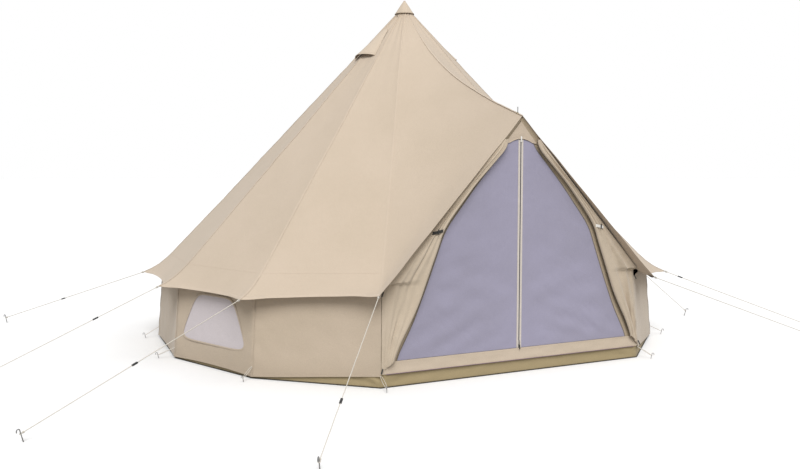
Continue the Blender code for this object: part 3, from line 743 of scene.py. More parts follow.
# A row of stitches holds the wall along the knee, and the eave is hemmed.
knee_row = ROOF_ROWS - 2
panels_end = roof_seams[SEAMS[-1]] + 1
knee_line = []
hem_line = []
hem_tape = []
for index in range(panels_end):
    column, ups = roof_columns[index], roof_ups[index]
    knee_line.append(column[knee_row] + ups[knee_row] * 0.0006)
    hem_line.append(column[-2] + ups[-2] * 0.0012)
    hem_tape.append((column, ups))
hem_columns = []
for share in (0.0, 0.03, 0.97, 1.0):
    column = []
    for points, ups in hem_tape:
        edge_point = points[-1].lerp(points[-3], 0.98 * share)
        lift = 0.0012 if 0.0 < share < 1.0 else 0.0001
        column.append(edge_point + ups[-2] * lift)
    hem_columns.append(column)
hem_columns.reverse()
shown("eave_hem", sheet_mesh(hem_columns, 0.0), seam_canvas)
front_inner = []
for index in list(range(roof_seams[SEAMS[-1]], len(roof_columns))) + [0]:
    front_inner.append(roof_columns[index][-2] + roof_ups[index][-2] * 0.0006)
seam_stitches += [knee_line, hem_line, front_inner]
sewn("roof_stitches", seam_stitches, pale_thread)


# ---------------------------------------------------------------- apex cap and tip
# A small cone of the same canvas is tied over the apex and keeps rain out of the hole for the pole.
# The spike of the door frame comes up through a brass eyelet at the tip.

CAP_FOOT = 3.245
CAP_TOP = 3.380
CAP_RADIUS = 0.099
cap_columns = []
for step in range(72):
    bearing = step * 5.0
    column = []
    for row in range(15):
        down = row / 14
        radius = mix(0.009, CAP_RADIUS, down ** 0.93)
        height = mix(CAP_TOP - 0.002, CAP_FOOT, down)
        fold = 0.0022 * math.cos(math.radians(bearing) * 9) * down * (1 - 0.5 * down)
        column.append(polar(radius + fold - 0.001, bearing, height))
    cap_columns.append(column)
cap_mesh = sheet_mesh(cap_columns, 0.0022, wrap=True)
cap_canvas = woven("cap_canvas", (0.59, 0.49, 0.385), 0.0011, vary=0.04, crumple=0.25)
apex_cap = shown("apex_cap_canvas", cap_mesh, cap_canvas)
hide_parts("apex_cap")
cap_ring = [polar(0.0072, step * 15.0, CAP_TOP - 0.0022) for step in range(24)]
cap_hem = [column[-1] + polar(0.0006, step * 5.0, 0.002) for step, column in enumerate(cap_columns)]
cap_trim = [
    round_tube(cap_ring, 0.0040, 8, wrap=True),
    round_tube(cap_hem, 0.0022, 8, wrap=True),
]
shown("apex_cap_hem", joined(cap_trim), cap_canvas)
cap_cord = [
    polar(0.100 + 0.004 * step, 285.0 + 3.0 * step, CAP_FOOT - 0.004 - 0.004 * step * step)
    for step in range(6)
]
cap_cord_mesh = round_tube(cap_cord, 0.0024, 8)
shown("apex_cap_cord", cap_cord_mesh, dark_tape_and_shade)
sewn(
    "apex_cap_stitches",
    [[column[-2] + polar(0.0016, step * 5.0, 0.0) for step, column in enumerate(cap_columns)]],
    pale_thread,
)

PEAK_Y = -2.100064
ridge_slope = (ridge[-1].z - ridge[-4].z) / (ridge[-1].y - ridge[-4].y)
eyelet_height = ridge[-1].z + ridge_slope * (PEAK_Y - ridge[-1].y) + 0.0012
eyelet = [
    Vector((0.0085 * math.cos(turn * math.tau / 24), 0.0, 0.0085 * math.sin(turn * math.tau / 24)))
    for turn in range(24)
]
eyelet = [Vector((p.x, PEAK_Y + p.z, eyelet_height + ridge_slope * p.z)) for p in eyelet]
brass = metal("brass_eyelet", (0.66, 0.50, 0.24), 0.3)
eyelet_mesh = round_tube(eyelet, 0.0026, 8, wrap=True)
shown("tip_eyelet", eyelet_mesh, brass)


# ---------------------------------------------------------------- roof vents
# Two canvas hoods near the top let warm air out. Each is sewn down along its top and sides, is held
# open at its mouth by a stiff hem, and has dark insect netting under it.

VENT_TOP = 3.07
VENT_MOUTH = 2.80
ROOF_SLOPE = (APEX_HEIGHT - KNEE_HEIGHT) / (KNEE_RADIUS - APEX_RADIUS)
dark_net = woven("dark_net", (0.055, 0.05, 0.05), 0.0016, vary=0.1)


def roof_radius(height):
    return APEX_RADIUS + (APEX_HEIGHT - height) / ROOF_SLOPE


def vent_columns(middle, rise, clear, inset, low):
    columns = []
    for step in range(33):
        across = step / 16 - 1
        column = []
        for row in range(21):
            down = row / 20 * low
            height = mix(VENT_TOP, VENT_MOUTH, down)
            bearing = middle + across * (mix(11.0, 20.0, down**0.7) - inset)
            past = (bearing - SEAMS[0]) % GORE_ANGLE - GORE_ANGLE / 2
            flat = math.cos(math.radians(GORE_ANGLE / 2)) / math.cos(math.radians(past))
            arch = (1 - across * across) ** 0.8
            pucker = 0.0012 * math.sin(row * 1.9 + step) * abs(across) ** 6
            lift = clear + rise * down * arch + pucker * (rise > 0) - 0.007 * abs(across) ** 3
            droop = 0.022 * (1 - arch) * down**4 * (rise > 0)
            column.append(polar(roof_radius(height) * flat + lift + droop, bearing, height - droop))
        columns.append(column)
    return columns


for side, bearing in (("left", SEAMS[-3]), ("right", SEAMS[2])):
    hood = vent_columns(bearing, 0.054, 0.0045, 0.0, 1.0)
    hood_mesh = sheet_mesh(hood, 0.0016)
    hood_sheet = shown(f"roof_vent_hood_{side}", hood_mesh, cap_canvas)
    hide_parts(f"roof_vent_{side}")
    mouth = [column[-1] for column in hood]
    mouth_mesh = round_tube(mouth, 0.0034, 8)
    shown(f"roof_vent_hem_{side}", mouth_mesh, seam_canvas)
    net = vent_columns(bearing, 0.0, 0.0032, 3.0, 0.97)
    net_mesh = sheet_mesh(net[1:-1], 0.0008)
    vent_net = shown(f"roof_vent_net_{side}", net_mesh, dark_net)
    ups = normals_of(hood)
    rows = [
        [column[-2] + line[-2] * 0.0008 for column, line in zip(hood, ups)],
        [point + way * 0.0008 for point, way in zip(hood[1], ups[1])],
        [point + way * 0.0008 for point, way in zip(hood[-2], ups[-2])],
    ]
    sewn(f"roof_vent_stitches_{side}", rows, pale_thread)


# ---------------------------------------------------------------- side wall
# The wall is one length of canvas in twelve panels, sewn under the eave and pegged at each seam. Its
# foot is hemmed and rises a little between the pegs.

WALL_TOP = 0.722
WALL_EAVE = 0.715
WALL_FOOT = 0.030
WALL_RADIUS = 2.50
WALL_LEAN = 0.055  # how much further in the eave is than the foot
WALL_CLOTH = 0.0012
WALL_STEPS = 30
WALL_ROWS = 30


def wall_radius(height):
    return WALL_RADIUS - WALL_LEAN * (height - WALL_FOOT) / (WALL_EAVE - WALL_FOOT)


def wall_foot(bearing):
    """Height of the wall's foot, which lifts towards the two door corners."""
    from_corner = min(bearing - SEAMS[0], SEAMS[-1] - bearing) / GORE_ANGLE
    return 0.016 + 0.075 * max(0.0, 1 - from_corner / 0.9) ** 1.6


wall_columns = []
wall_seams = []
for index, bearing in enumerate(SEAMS[:-1]):
    wall_seams.append(len(wall_columns))
    for step in range(WALL_STEPS + (index == 11)):
        across = step / WALL_STEPS
        hanging = 4 * across * (1 - across)
        inward = -polar(1.0, bearing + GORE_ANGLE / 2, 0.0)
        column = []
        for row in range(WALL_ROWS + 1):
            down = row / WALL_ROWS
            height = mix(WALL_TOP, wall_foot(bearing + GORE_ANGLE * across), down)
            start = polar(wall_radius(height), bearing, height)
            end = polar(wall_radius(height), bearing + GORE_ANGLE, height)
            point = start.lerp(end, across)
            point.z += 0.016 * hanging * down**3
            point += inward * 0.010 * hanging * math.sin(math.pi * down)
            column.append(point)
        wall_columns.append(column)


def wall_rise(point, index, row):
    """Puckers beside the seams, slanting pulls to the lower corners and slack in the middle of a panel."""
    panel = min(index // WALL_STEPS, 11)
    across = index / WALL_STEPS - panel
    down = row / WALL_ROWS
    aside = min(across, 1 - across)
    rise = ripple(point, 0.05, 0.003) * math.exp(-((aside / 0.05) ** 2))
    rise += ripple(point, 0.42, 0.0075, 4.0) * math.sin(math.pi * across)
    rise += ripple(point, 0.14, 0.0040, 6.0) * math.sin(math.pi * across)
    slant = math.sin(22.0 * (down - 1.6 * aside) + panel)
    rise += 0.0026 * slant * math.exp(-((aside / 0.16) ** 2)) * down
    return rise * min(1.0, (1 - down) * 8 + 0.25) - 0.0012


wall_columns = raised(wall_columns, wall_rise)
# The wall canvas is a darker copy of the roof canvas: the same cloth, painted darker as the shade on the
# upright walls under the eave.
wall_canvas_painted_shade = woven("wall_canvas_painted_shade", (0.525, 0.432, 0.335), 0.0011, vary=0.05, crumple=0.2, darkening=0.35)
wall_mesh = sheet_mesh(wall_columns, WALL_CLOTH)

WINDOW_LOW = 0.20
WINDOW_HIGH = 0.60
WINDOW_LOW_HALF = 0.452
WINDOW_HIGH_HALF = 0.240
WINDOW_POINTS = 96
WINDOW_GORES = {"front_left": -1.5, "front_right": 1.5, "rear_left": -4.5, "rear_right": 4.5}


def window_place(gore):
    """The place and turn of a wall panel's middle, at the height of its window."""
    bearing = (1 if gore > 0 else -1) * (DOOR_CORNER + GORE_ANGLE * abs(gore))
    chord = math.cos(math.radians(GORE_ANGLE / 2))
    middle = (WINDOW_LOW + WINDOW_HIGH) / 2
    place = polar(wall_radius(middle) * chord - 0.006, bearing, middle)
    lean = math.atan(WALL_LEAN * chord / (WALL_EAVE - WALL_FOOT))
    turn = Matrix.Rotation(math.radians(bearing), 4, "Z") @ Matrix.Rotation(-lean, 4, "X")
    return Matrix.Translation(place) @ turn


def window_outline(grow):
    """The window's outline about its middle: a trapezoid with bowed sides and round corners."""
    high = (WINDOW_HIGH - WINDOW_LOW) / 2 + grow
    points = []
    for step in range(WINDOW_POINTS):
        angle = math.tau * (step + 0.5) / WINDOW_POINTS
        x, z = math.cos(angle), math.sin(angle)
        scale = (abs(x) ** 7 + abs(z) ** 7) ** (-1 / 7)
        x, z = x * scale, z * scale
        half = mix(WINDOW_LOW_HALF, WINDOW_HIGH_HALF, (z + 1) / 2) + 0.012 * (1 - z * z) + grow
        points.append((x * half, z * high))
    return points


wall_helper = placed("wall", wall_mesh)
openings = []
for name, gore in WINDOW_GORES.items():
    place = window_place(gore)
    prism = bmesh.new()
    rings = []
    for depth in (-0.09, 0.09):
        ring = [prism.verts.new(place @ Vector((x, depth, z))) for x, z in window_outline(0.0)]
        prism.faces.new(ring)
        rings.append(ring)
    for step in range(WINDOW_POINTS):
        after = (step + 1) % WINDOW_POINTS
        prism.faces.new((rings[0][step], rings[0][after], rings[1][after], rings[1][step]))
    bmesh.ops.recalc_face_normals(prism, faces=prism.faces)
    openings.append(placed("opening", ended(prism)))
    hole = wall_helper.modifiers.new("opening", "BOOLEAN")
    hole.operation = "DIFFERENCE"
    hole.object = openings[-1]
wall_mesh = baked(wall_helper)
for opening in openings:
    bpy.data.objects.remove(opening, do_unlink=True)
wall_sheet = shown("wall_sheet", wall_mesh, wall_canvas_painted_shade)
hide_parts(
    "wall_front_left", "wall_front_right", "wall_rear_left", "wall_rear_right"
)

wall_ups = normals_of(wall_columns)
wall_strips = []
wall_rows = []
for index in wall_seams[1:]:
    column = wall_columns[index]
    ways = [
        (wall_columns[index + 1][row] - wall_columns[index - 1][row]).normalized()
        for row in range(len(column))
    ]
    wall_strips.append(seam_strip(column, ways, wall_ups[index]))
    for aside in (-SEAM_STITCH, SEAM_STITCH):
        wall_rows.append(
            [p + way * aside + up * 0.0015 for p, way, up in zip(column, ways, wall_ups[index])]
        )
foot_hem = []
for share, lift in ((0.0, 0.0001), (0.04, 0.0014), (0.96, 0.0014), (1.0, 0.0001)):
    foot_hem.append(
        [
            column[-2].lerp(column[-1], 1 - share) + line[-1] * lift
            for column, line in zip(wall_columns, wall_ups)
        ]
    )
foot_hem.reverse()
wall_strips.append(sheet_mesh(foot_hem, 0.0))
wall_trim = joined(wall_strips)
shown("wall_seam_strips", wall_trim, wall_canvas_painted_shade)
wall_rows.append([c[-2] + line[-2] * 0.0014 for c, line in zip(wall_columns, wall_ups)])
sewn("wall_stitches", wall_rows, pale_thread)


# ---------------------------------------------------------------- windows
# Each window is fine pale net in a trapezoid opening, held by a folded canvas binding that is sewn to
# the wall round the opening in two rows.

window_net = woven("window_net", (0.62, 0.565, 0.585), 0.0018, roughness=0.8, vary=0.03, crumple=0.2)
for name, gore in WINDOW_GORES.items():
    place = window_place(gore)
    grid = bmesh.new()
    layer = grid.loops.layers.uv.new("cloth")
    rings = []
    outline = window_outline(0.010)
    for ring_index in range(13):
        share = ring_index / 12
        ring = []
        for x, z in outline:
            sway = 0.004 * (1 - share * share) + ripple(Vector((x * share, z * share, gore)), 0.1, 0.0016)
            ring.append(grid.verts.new(place @ Vector((x * share, 0.0005 + sway * (1 - share), z * share))))
        rings.append(ring)
    for inner, outer in zip(rings, rings[1:]):
        for step in range(WINDOW_POINTS):
            after = (step + 1) % WINDOW_POINTS
            grid.faces.new((inner[step], inner[after], outer[after], outer[step]))
    bmesh.ops.remove_doubles(grid, verts=rings[0], dist=0.0001)
    back = place.inverted()
    for face in grid.faces:
        for loop in face.loops:
            local = back @ loop.vert.co
            loop[layer].uv = (local.x + 1.0, local.z + 1.0)
    grid.normal_update()
    outwards = (place.to_3x3() @ Vector((0.0, -1.0, 0.0))).normalized()
    if sum(face.normal.dot(outwards) for face in grid.faces) < 0:
        bmesh.ops.reverse_faces(grid, faces=grid.faces)
    pane_mesh = thickened(ended(grid), 0.0005)
    pane = shown(f"window_net_{name}", pane_mesh, window_net)
    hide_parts(f"window_{name}")
    band = []
    for grow, lift in ((0.013, 0.0002), (0.012, 0.0014), (0.001, 0.0018), (-0.001, 0.0006)):
        band.append([place @ Vector((x, -0.0022 - lift, z)) for x, z in window_outline(grow)])
    band = [list(line) for line in zip(*band)]
    band_mesh = sheet_mesh(band, 0.0009, wrap=True)
    turned = bmesh.new()
    turned.from_mesh(band_mesh)
    bmesh.ops.recalc_face_normals(turned, faces=turned.faces)
    turned.to_mesh(band_mesh)
    turned.free()
    shown(f"window_binding_{name}", band_mesh, wall_canvas_painted_shade)
    rows = []
    for grow in (0.010, 0.003):
        line = [place @ Vector((x, -0.0042, z)) for x, z in window_outline(grow)]
        rows.append(line + line[:1])
    sewn(f"window_stitches_{name}", rows, pale_thread)


# ---------------------------------------------------------------- door frame
# An A-shaped frame of steel tube stands behind the mesh door and carries the porch. Its two legs meet
# in a plastic block, and a spike above the block goes through the eyelet at the tip.

refinish(galvanised, "frame_leg_left", "frame_leg_right", "frame_spike")
refinish(black_rubber, "frame_foot_left", "frame_foot_right", "frame_peak_block")
block_low, block_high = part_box("frame_peak_block")
bolts = []
for x in (-0.018, 0.018):
    centre = Vector((x, block_low[1], block_high[2] - 0.02))
    bolts.append(round_tube([centre, centre + Vector((0.0, -0.0022, 0.0))], 0.0048, 6))
shown("frame_bolts", joined(bolts), galvanised)


# ---------------------------------------------------------------- sill and gable
# Under the mesh a strip of canvas is sewn to the groundsheet, and over it a small triangle closes the
# door up to the tip. The strip has three rows of stitches, and the triangle a hem along its foot.

SILL_HALF = 1.238
SILL_LOW = 0.105
SILL_HIGH = 0.1995
sill_columns = []
for step in range(161):
    x = mix(-SILL_HALF, SILL_HALF, step / 160)
    column = []
    for row in range(13):
        down = row / 12
        height = mix(SILL_HIGH, SILL_LOW, down)
        wave = ripple(Vector((x, 0.0, height * 2)), 0.16, 0.0050) * math.sin(math.pi * down)
        column.append(Vector((x, DOOR_Y - 0.0045 - 0.0035 * down - wave, height)))
    sill_columns.append(column)
sill_cloth = sheet_mesh(sill_columns, 0.0014)
sill = shown("door_sill_cloth", sill_cloth, cap_canvas)
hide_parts("door_sill")
sill_rows = [[column[row] + Vector((0.0, -0.0006, 0.0)) for column in sill_columns] for row in (1, 2, 11)]
sewn("door_sill_stitches", sill_rows, pale_thread)
sill_tape = [Vector((mix(-1.20, 1.20, step / 60), DOOR_Y - 0.010, 0.1035)) for step in range(61)]
plum_tape = woven("plum_tape", (0.20, 0.13, 0.16), 0.0008)
sill_tape_mesh = round_tube(sill_tape, 0.0030, 8)
shown("door_sill_tape", sill_tape_mesh, plum_tape)

GABLE_HALF = 0.152
gable_columns = []
for step in range(49):
    x = mix(-GABLE_HALF, GABLE_HALF, step / 48)
    aside = abs(x)
    if aside < 0.105:
        low = mix(1.9055, 1.8755, (aside / 0.105) ** 2)
    else:
        low = mix(1.8755, 1.8655, (aside - 0.105) / 0.05)
    high = mix(2.045, 1.865, aside / 0.155)
    column = []
    for row in range(17):
        point = Vector((x, DOOR_Y - 0.0035, mix(high, low, row / 16)))
        point.y += ripple(point, 0.06, 0.003) * math.sin(math.pi * row / 16)
        column.append(point)
    gable_columns.append(column)
gable = shown("door_gable_cloth", sheet_mesh(gable_columns, 0.0014), canvas)
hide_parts("door_gable")
gable_hem = [column[-1] + Vector((0.0, -0.001, 0.001)) for column in gable_columns]
shown("door_gable_hem", round_tube(gable_hem, 0.0026, 8), cap_canvas)


# ---------------------------------------------------------------- mesh door
# The inner door is insect mesh in two halves that part along a zip. Each half is hung by its outer
# edge, and here the halves are closed.

DOOR_EDGE = ((0.20, 1.12), (0.48, 0.97), (0.77, 0.85), (1.19, 0.69), (1.55, 0.40), (1.87, 0.105))
ZIP_EDGE = 0.0219
MESH_FOOT = 0.2005
BACK = Vector((0.0, 1.0, 0.0))


def along_points(points, place):
    """Linear reading of a short list of pairs that rises in its first value."""
    if place <= points[0][0]:
        return points[0][1]
    for before, after in zip(points, points[1:]):
        if place <= after[0]:
            return mix(before[1], after[1], (place - before[0]) / (after[0] - before[0]))
    return points[-1][1]


def eased(points, place, reach=0.07):
    """The same reading with its corners rounded off."""
    return sum(along_points(points, place + reach * step / 3) for step in range(-3, 4)) / 7


def mesh_slack(x, height):
    """Folds of the mesh: long slanting ones low at the outer corners, and a soft belly."""
    point = Vector((x, 0.0, height))
    belly = 0.010 * math.sin(math.pi * min(max((height - 0.2) / 1.7, 0.0), 1.0))
    low = math.exp(-((height - 0.2) / 0.45)) * min(abs(x) / 0.5, 1.0)
    slant = math.sin(34.0 * (height + 0.42 * abs(x)) + 3.0 * noise.noise(point * 2.2))
    drape = 0.0022 * math.sin(26.0 * (height - 0.35 * abs(x)) + 2.0)
    drape *= math.exp(-(((height - 0.7) / 0.25) ** 2))
    fine = ripple(Vector((x + height * 0.9, 0.0, (height - x * 0.4) * 0.22)), 0.030, 0.0042) * low
    return belly * abs(math.sin(x * 2.4)) + 0.0042 * low * slant + drape + fine + ripple(point, 0.33, 0.006)


fly_mesh = woven("fly_mesh", (0.375, 0.355, 0.47), 0.0016, roughness=0.42, sheen=0.3, vary=0.06)
fly_mesh.node_tree.nodes["Principled BSDF"].inputs["Alpha"].default_value = 0.90
grey_tape = woven("grey_tape", (0.20, 0.17, 0.14), 0.0008)
for side, name in ((-1, "left"), (1, "right")):
    columns = []
    for step in range(61):
        share = step / 60
        brow = mix(ZIP_EDGE, 0.105, share)
        high = 1.90 - 0.03 * (brow / 0.105) ** 2
        column = []
        for row in range(86):
            height = mix(high, MESH_FOOT, row / 85)
            half = mix(ZIP_EDGE, eased(DOOR_EDGE, height), share)
            edge = min(share * 6, (1 - share) * 8, (85 - row) / 6 + 0.1, row / 8 + 0.1, 1.0)
            depth = DOOR_Y + 0.0006 + mesh_slack(side * half, height) * max(edge, 0.0)
            column.append(Vector((side * half, depth, height)))
        columns.append(column)
    if side < 0:
        columns.reverse()
    cloth = sheet_mesh(columns, 0.0006)
    half_door = shown(f"door_mesh_cloth_{name}", cloth, fly_mesh, f"door_{name}")
    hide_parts(f"door_mesh_{name}")
    outer = columns[0] if side < 0 else columns[-1]
    rim = [point + Vector((0.0, -0.0015, 0.0)) for point in outer]
    rim_tape = round_tube(rim, 0.0040, 6, flat=0.5, across=BACK)
    shown(f"door_mesh_edge_{name}", rim_tape, grey_tape, f"door_{name}")


# ---------------------------------------------------------------- zip
# Pale tape is sewn to the edge of each half and carries a coil of dark teeth. The slider has a black
# pull on its outer face and is parked at the foot of the door, and a pale webbing tab hangs at the top.

zip_tape = woven("zip_tape", (0.66, 0.61, 0.56), 0.0007, vary=0.02)
zip_teeth = moulded("zip_teeth", (0.10, 0.09, 0.10), 0.4)
for side, name in ((-1, "left"), (1, "right")):
    columns = []
    for x in (0.0046, 0.0090, 0.0150, 0.0216, 0.0230):
        columns.append(
            [Vector((side * x, DOOR_Y - 0.0014, mix(1.899, MESH_FOOT, row / 60))) for row in range(61)]
        )
    if side < 0:
        columns.reverse()
    tape = sheet_mesh(columns, 0.0011)
    tape_piece = shown(f"zip_tape_cloth_{name}", tape, zip_tape, f"door_{name}")
    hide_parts(f"zip_tape_{name}")
    rows = [
        [Vector((side * x, DOOR_Y - 0.0018, mix(1.895, 0.205, row / 40))) for row in range(41)]
        for x in (0.0125, 0.0195)
    ]
    sewn(f"zip_stitches_{name}", rows, pale_thread, f"door_{name}", 0.0085, 0.006, 0.0008)
teeth_rows = []
for side in (-1, 1):
    start = 1.898 if side < 0 else 1.8967
    teeth_rows.append([Vector((side * 0.0018, DOOR_Y - 0.0012, z)) for z in (start, 0.201)])
zip_coil = sewn("zip_coil", teeth_rows, zip_teeth, "door_left", 0.0026, 0.0014, 0.0040)
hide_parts("zip_chain")

zip_metal = metal("zip_metal", (0.48, 0.46, 0.44), 0.35)
refinish(zip_metal, "zip_slider")
slider_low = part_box("zip_slider")[0]
pull_top = slider_low[2] + 0.006
pull = [
    Vector((0.0, slider_low[1] - 0.0030 - 0.004 * step / 8, pull_top - 0.034 * step / 8))
    for step in range(9)
]
pull_tab = round_tube(pull, 0.0058, 12, flat=0.3, across=BACK)
shown("zip_pull_tab", pull_tab, black_rubber, "zip_slider")
top_tag = []
for step in range(9):
    bow = 0.006 + 0.003 * math.sin(step / 8 * math.pi)
    top_tag.append(Vector((0.0, DOOR_Y - bow, 1.925 - 0.045 * step / 8)))
white_tape = woven("white_tape", (0.78, 0.76, 0.73), 0.0008)
tag_mesh = round_tube(top_tag, 0.0070, 12, flat=0.2, across=BACK)
shown("zip_top_tag", tag_mesh, white_tape)


# ---------------------------------------------------------------- canvas door
# Each half of the canvas door is sewn to the porch and the wall corner by its outer edge. Its free
# part is rolled up from the middle, and a band with a toggle holds the roll half way up.

FLAP_INNER = (
    (0.20, 1.150),
    (0.35, 1.086),
    (0.50, 1.000),
    (0.64, 0.930),
    (0.76, 0.885),
    (0.90, 0.830),
    (1.05, 0.770),
    (1.18, 0.725),
    (1.30, 0.640),
    (1.55, 0.430),
    (1.84, 0.140),
)
FLAP_Y = DOOR_Y - 0.031
ROLL_RADIUS = ((0.20, 0.012), (0.50, 0.018), (1.05, 0.018), (1.18, 0.0155), (1.30, 0.018), (1.84, 0.013))
ROLL_TURNS = 6
FLAP_TOP = 1.90
TIE_HEIGHT = 1.18
PORCH_HALF = 1.2556  # of the porch at the knee
PORCH_DROP = 1.3336  # from the tip to the knee
PORCH_Y = -2.172


def door_corner(height):
    """Where the canvas door is sewn down, at a height: the wall's corner, or the porch above it."""
    wall_x = wall_radius(height) * math.sin(math.radians(DOOR_CORNER)) - 0.004
    porch_x = PORCH_HALF * (TIP_HEIGHT - height) / PORCH_DROP - 0.003
    if wall_x < porch_x:
        return wall_x, -wall_radius(height) * math.cos(math.radians(DOOR_CORNER)) - 0.004
    return porch_x, PORCH_Y


# A strip of canvas joins the edge of the mesh to the porch and the wall corner, behind the flaps.
# Its canvas is painted darker and warmer than the roof's, as painted shade behind the flaps and under the
# porch.
jamb_canvas_painted_shade = woven("jamb_canvas_painted_shade", (0.47, 0.38, 0.27), 0.0011, vary=0.04)
for side, name in ((-1, "left"), (1, "right")):
    columns = []
    for step in range(9):
        column = []
        for row in range(81):
            height = mix(2.075, 0.112, row / 80)
            inner = eased(DOOR_EDGE, height) - 0.016
            if height > 1.86:
                inner = max(0.145 * (2.045 - height) / 0.18, 0.0)
            outer_x, outer_y = door_corner(height)
            outer_x = max(outer_x, inner + 0.002)
            x = mix(inner, outer_x, step / 8)
            y = mix(DOOR_Y + 0.0045, outer_y + 0.006, (step / 8) ** 2)
            column.append(Vector((side * x, y, height)))
        columns.append(column)
    if side < 0:
        columns.reverse()
    jamb = shown(f"door_jamb_{name}", sheet_mesh(columns, 0.0011), jamb_canvas_painted_shade)

flap_canvas = woven("flap_canvas", (0.54, 0.45, 0.35), 0.0011, vary=0.05, crumple=0.3)
for side, name in ((-1, "left"), (1, "right")):
    columns = [[] for _ in range(25 + ROLL_TURNS * 14)]
    flap_edge_line = []
    for row in range(97):
        height = mix(FLAP_TOP, 0.205, row / 96)
        inner = eased(FLAP_INNER, height, 0.05)
        radius = eased(ROLL_RADIUS, height, 0.05)
        outer_x, outer_y = door_corner(height)
        roll_x = min(inner + radius, outer_x - radius)
        below = max(0.0, TIE_HEIGHT - height)
        room = max(outer_x - roll_x, 0.001)
        for step in range(25):
            share = step / 24
            x = mix(outer_x, roll_x, share)
            y = mix(outer_y, FLAP_Y - radius, share**0.7)
            fan = math.sin((2.6 + 1.2 * side) * math.pi * share + 5.0 * below + side)
            wave = 0.0125 * fan * min(below * 2.5 + 0.1, 1.0) * min(room / 0.12, 1.0)
            upright = Vector((share * 2.4, side, height * 0.55))
            wave += ripple(upright, 0.22, 0.017) * min(room / 0.08, 1.0)
            low_down = math.exp(-(height - 0.2) / 0.25)
            wave += ripple(Vector((x, side, height * 0.6)), 0.055, 0.010) * (0.4 + low_down)
            hem_drop = 0.085 * (1 - share) * max(0.0, 1 - (height - 0.205) / 0.20)
            point = Vector((side * x, y - wave * math.sin(math.pi * share), height - hem_drop))
            columns[step].append(point)
        for step in range(ROLL_TURNS * 14):
            turn = (step + 1) / 14 * math.tau
            tight = radius * (1 - 0.80 * (step + 1) / (ROLL_TURNS * 14))
            x = roll_x - tight * math.sin(turn)
            lump = 1 + 0.10 * noise.noise(Vector((math.cos(turn), math.sin(turn), height * 7 + side)))
            y = FLAP_Y - tight * math.cos(turn) * lump
            columns[25 + step].append(Vector((side * x, y, height)))
        flap_edge_line.append(Vector((side * (roll_x - radius * 0.97), FLAP_Y + 0.002, height)))
    if side > 0:
        columns.reverse()
    cloth = sheet_mesh(columns, 0.0011)
    flap = shown(f"door_flap_cloth_{name}", cloth, flap_canvas)
    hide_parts(f"door_flap_{name}")
    # A thin line down each roll's inner edge: on the right it is near-black, a painted shadow in the gap
    # between the roll and the mesh; on the left it is flap canvas.
    flap_edge_mesh = round_tube(flap_edge_line, 0.0022, 8)
    shown(f"door_flap_edge_line_{name}", flap_edge_mesh, dark_tape_and_shade if side > 0 else flap_canvas)

# Black webbing for the left door tie; on the eave tab at 280° it is painted shade.
black_webbing_and_shade = woven("black_webbing_and_shade", (0.035, 0.033, 0.03), 0.0009)
for side, name in ((-1, "left"), (1, "right")):
    low, high = (Vector(corner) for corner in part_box(f"flap_tie_{name}"))
    middle = (low + high) / 2
    columns = []
    for step in range(25):
        angle = math.pi * (0.02 + 0.96 * step / 24)
        x = middle.x - 0.051 * math.cos(angle)
        y = FLAP_Y + 0.010 - (0.010 + FLAP_Y - middle.y) * math.sin(angle) ** 0.55
        tilt = -side * (x - middle.x) * 0.21
        columns.append([Vector((x, y, middle.z + tilt + up)) for up in (0.0115, 0.004, -0.004, -0.0115)])
    band = sheet_mesh(columns, 0.0016)
    finish = black_webbing_and_shade if side < 0 else white_tape
    tie = shown(f"flap_tie_band_{name}", band, finish)
    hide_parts(f"flap_tie_{name}")
    toggle = [
        Vector((middle.x + side * 0.008, middle.y - 0.006, middle.z - 0.020 + 0.040 * step / 6))
        for step in range(7)
    ]
    toggle_mesh = round_tube(toggle, 0.0048, 10)
    shown(f"flap_toggle_{name}", toggle_mesh, black_rubber)


# ---------------------------------------------------------------- eave tabs
# Every roof seam ends in a webbing tab with a steel ring. A tab with a guy rope on it is pulled out
# along the rope, and the others hang.

UP = Vector((0.0, 0.0, 1.0))
ROPE_START = 0.010  # from the eave to the rope's end, and from its other end to the catch
PEG_TOP = 0.075
PEG_LEAN = 0.020  # outwards, at the top of a peg
PEG_CATCH = 0.055  # height at which a rope catches its peg

# Seam from the right door corner round, then how much further out the peg is than the eave, and the
# peg's bearing.
GUY_ROPES = {
    "door_left": (-1, 1.62, 327.8),
    "front_left": (-2, 1.78, 302.3),
    "side_left": (-3, 1.33, 278.3),
    "rear_left": (-4, 1.70, 240.6),
    "door_right": (0, 1.39, 53.5),
    "front_right": (1, 1.57, 57.5),
    "side_right": (2, 0.65, 77.3),
}


def rope_line(name):
    """The two ends of a guy rope, where it catches its peg, and the way along it."""
    seam, reach, bearing = GUY_ROPES[name]
    eave = guy_point(SEAMS[seam])
    ground = polar(EAVE_RADIUS + reach, bearing, 0.0)
    away = Vector((ground.x - eave.x, ground.y - eave.y, 0.0)).normalized()
    catch = ground + (away * PEG_LEAN + UP * PEG_TOP) * (PEG_CATCH / PEG_TOP)
    along = (catch - eave).normalized()
    return eave + along * ROPE_START, catch - along * ROPE_START, catch, along


def ring_points(middle, way, normal, radius, count=20):
    """A circle round a middle. It starts on the side that way points to."""
    other = normal.cross(way).normalized()
    turns = [math.tau * step / count for step in range(count)]
    return [middle + (way * math.cos(turn) + other * math.sin(turn)) * radius for turn in turns]


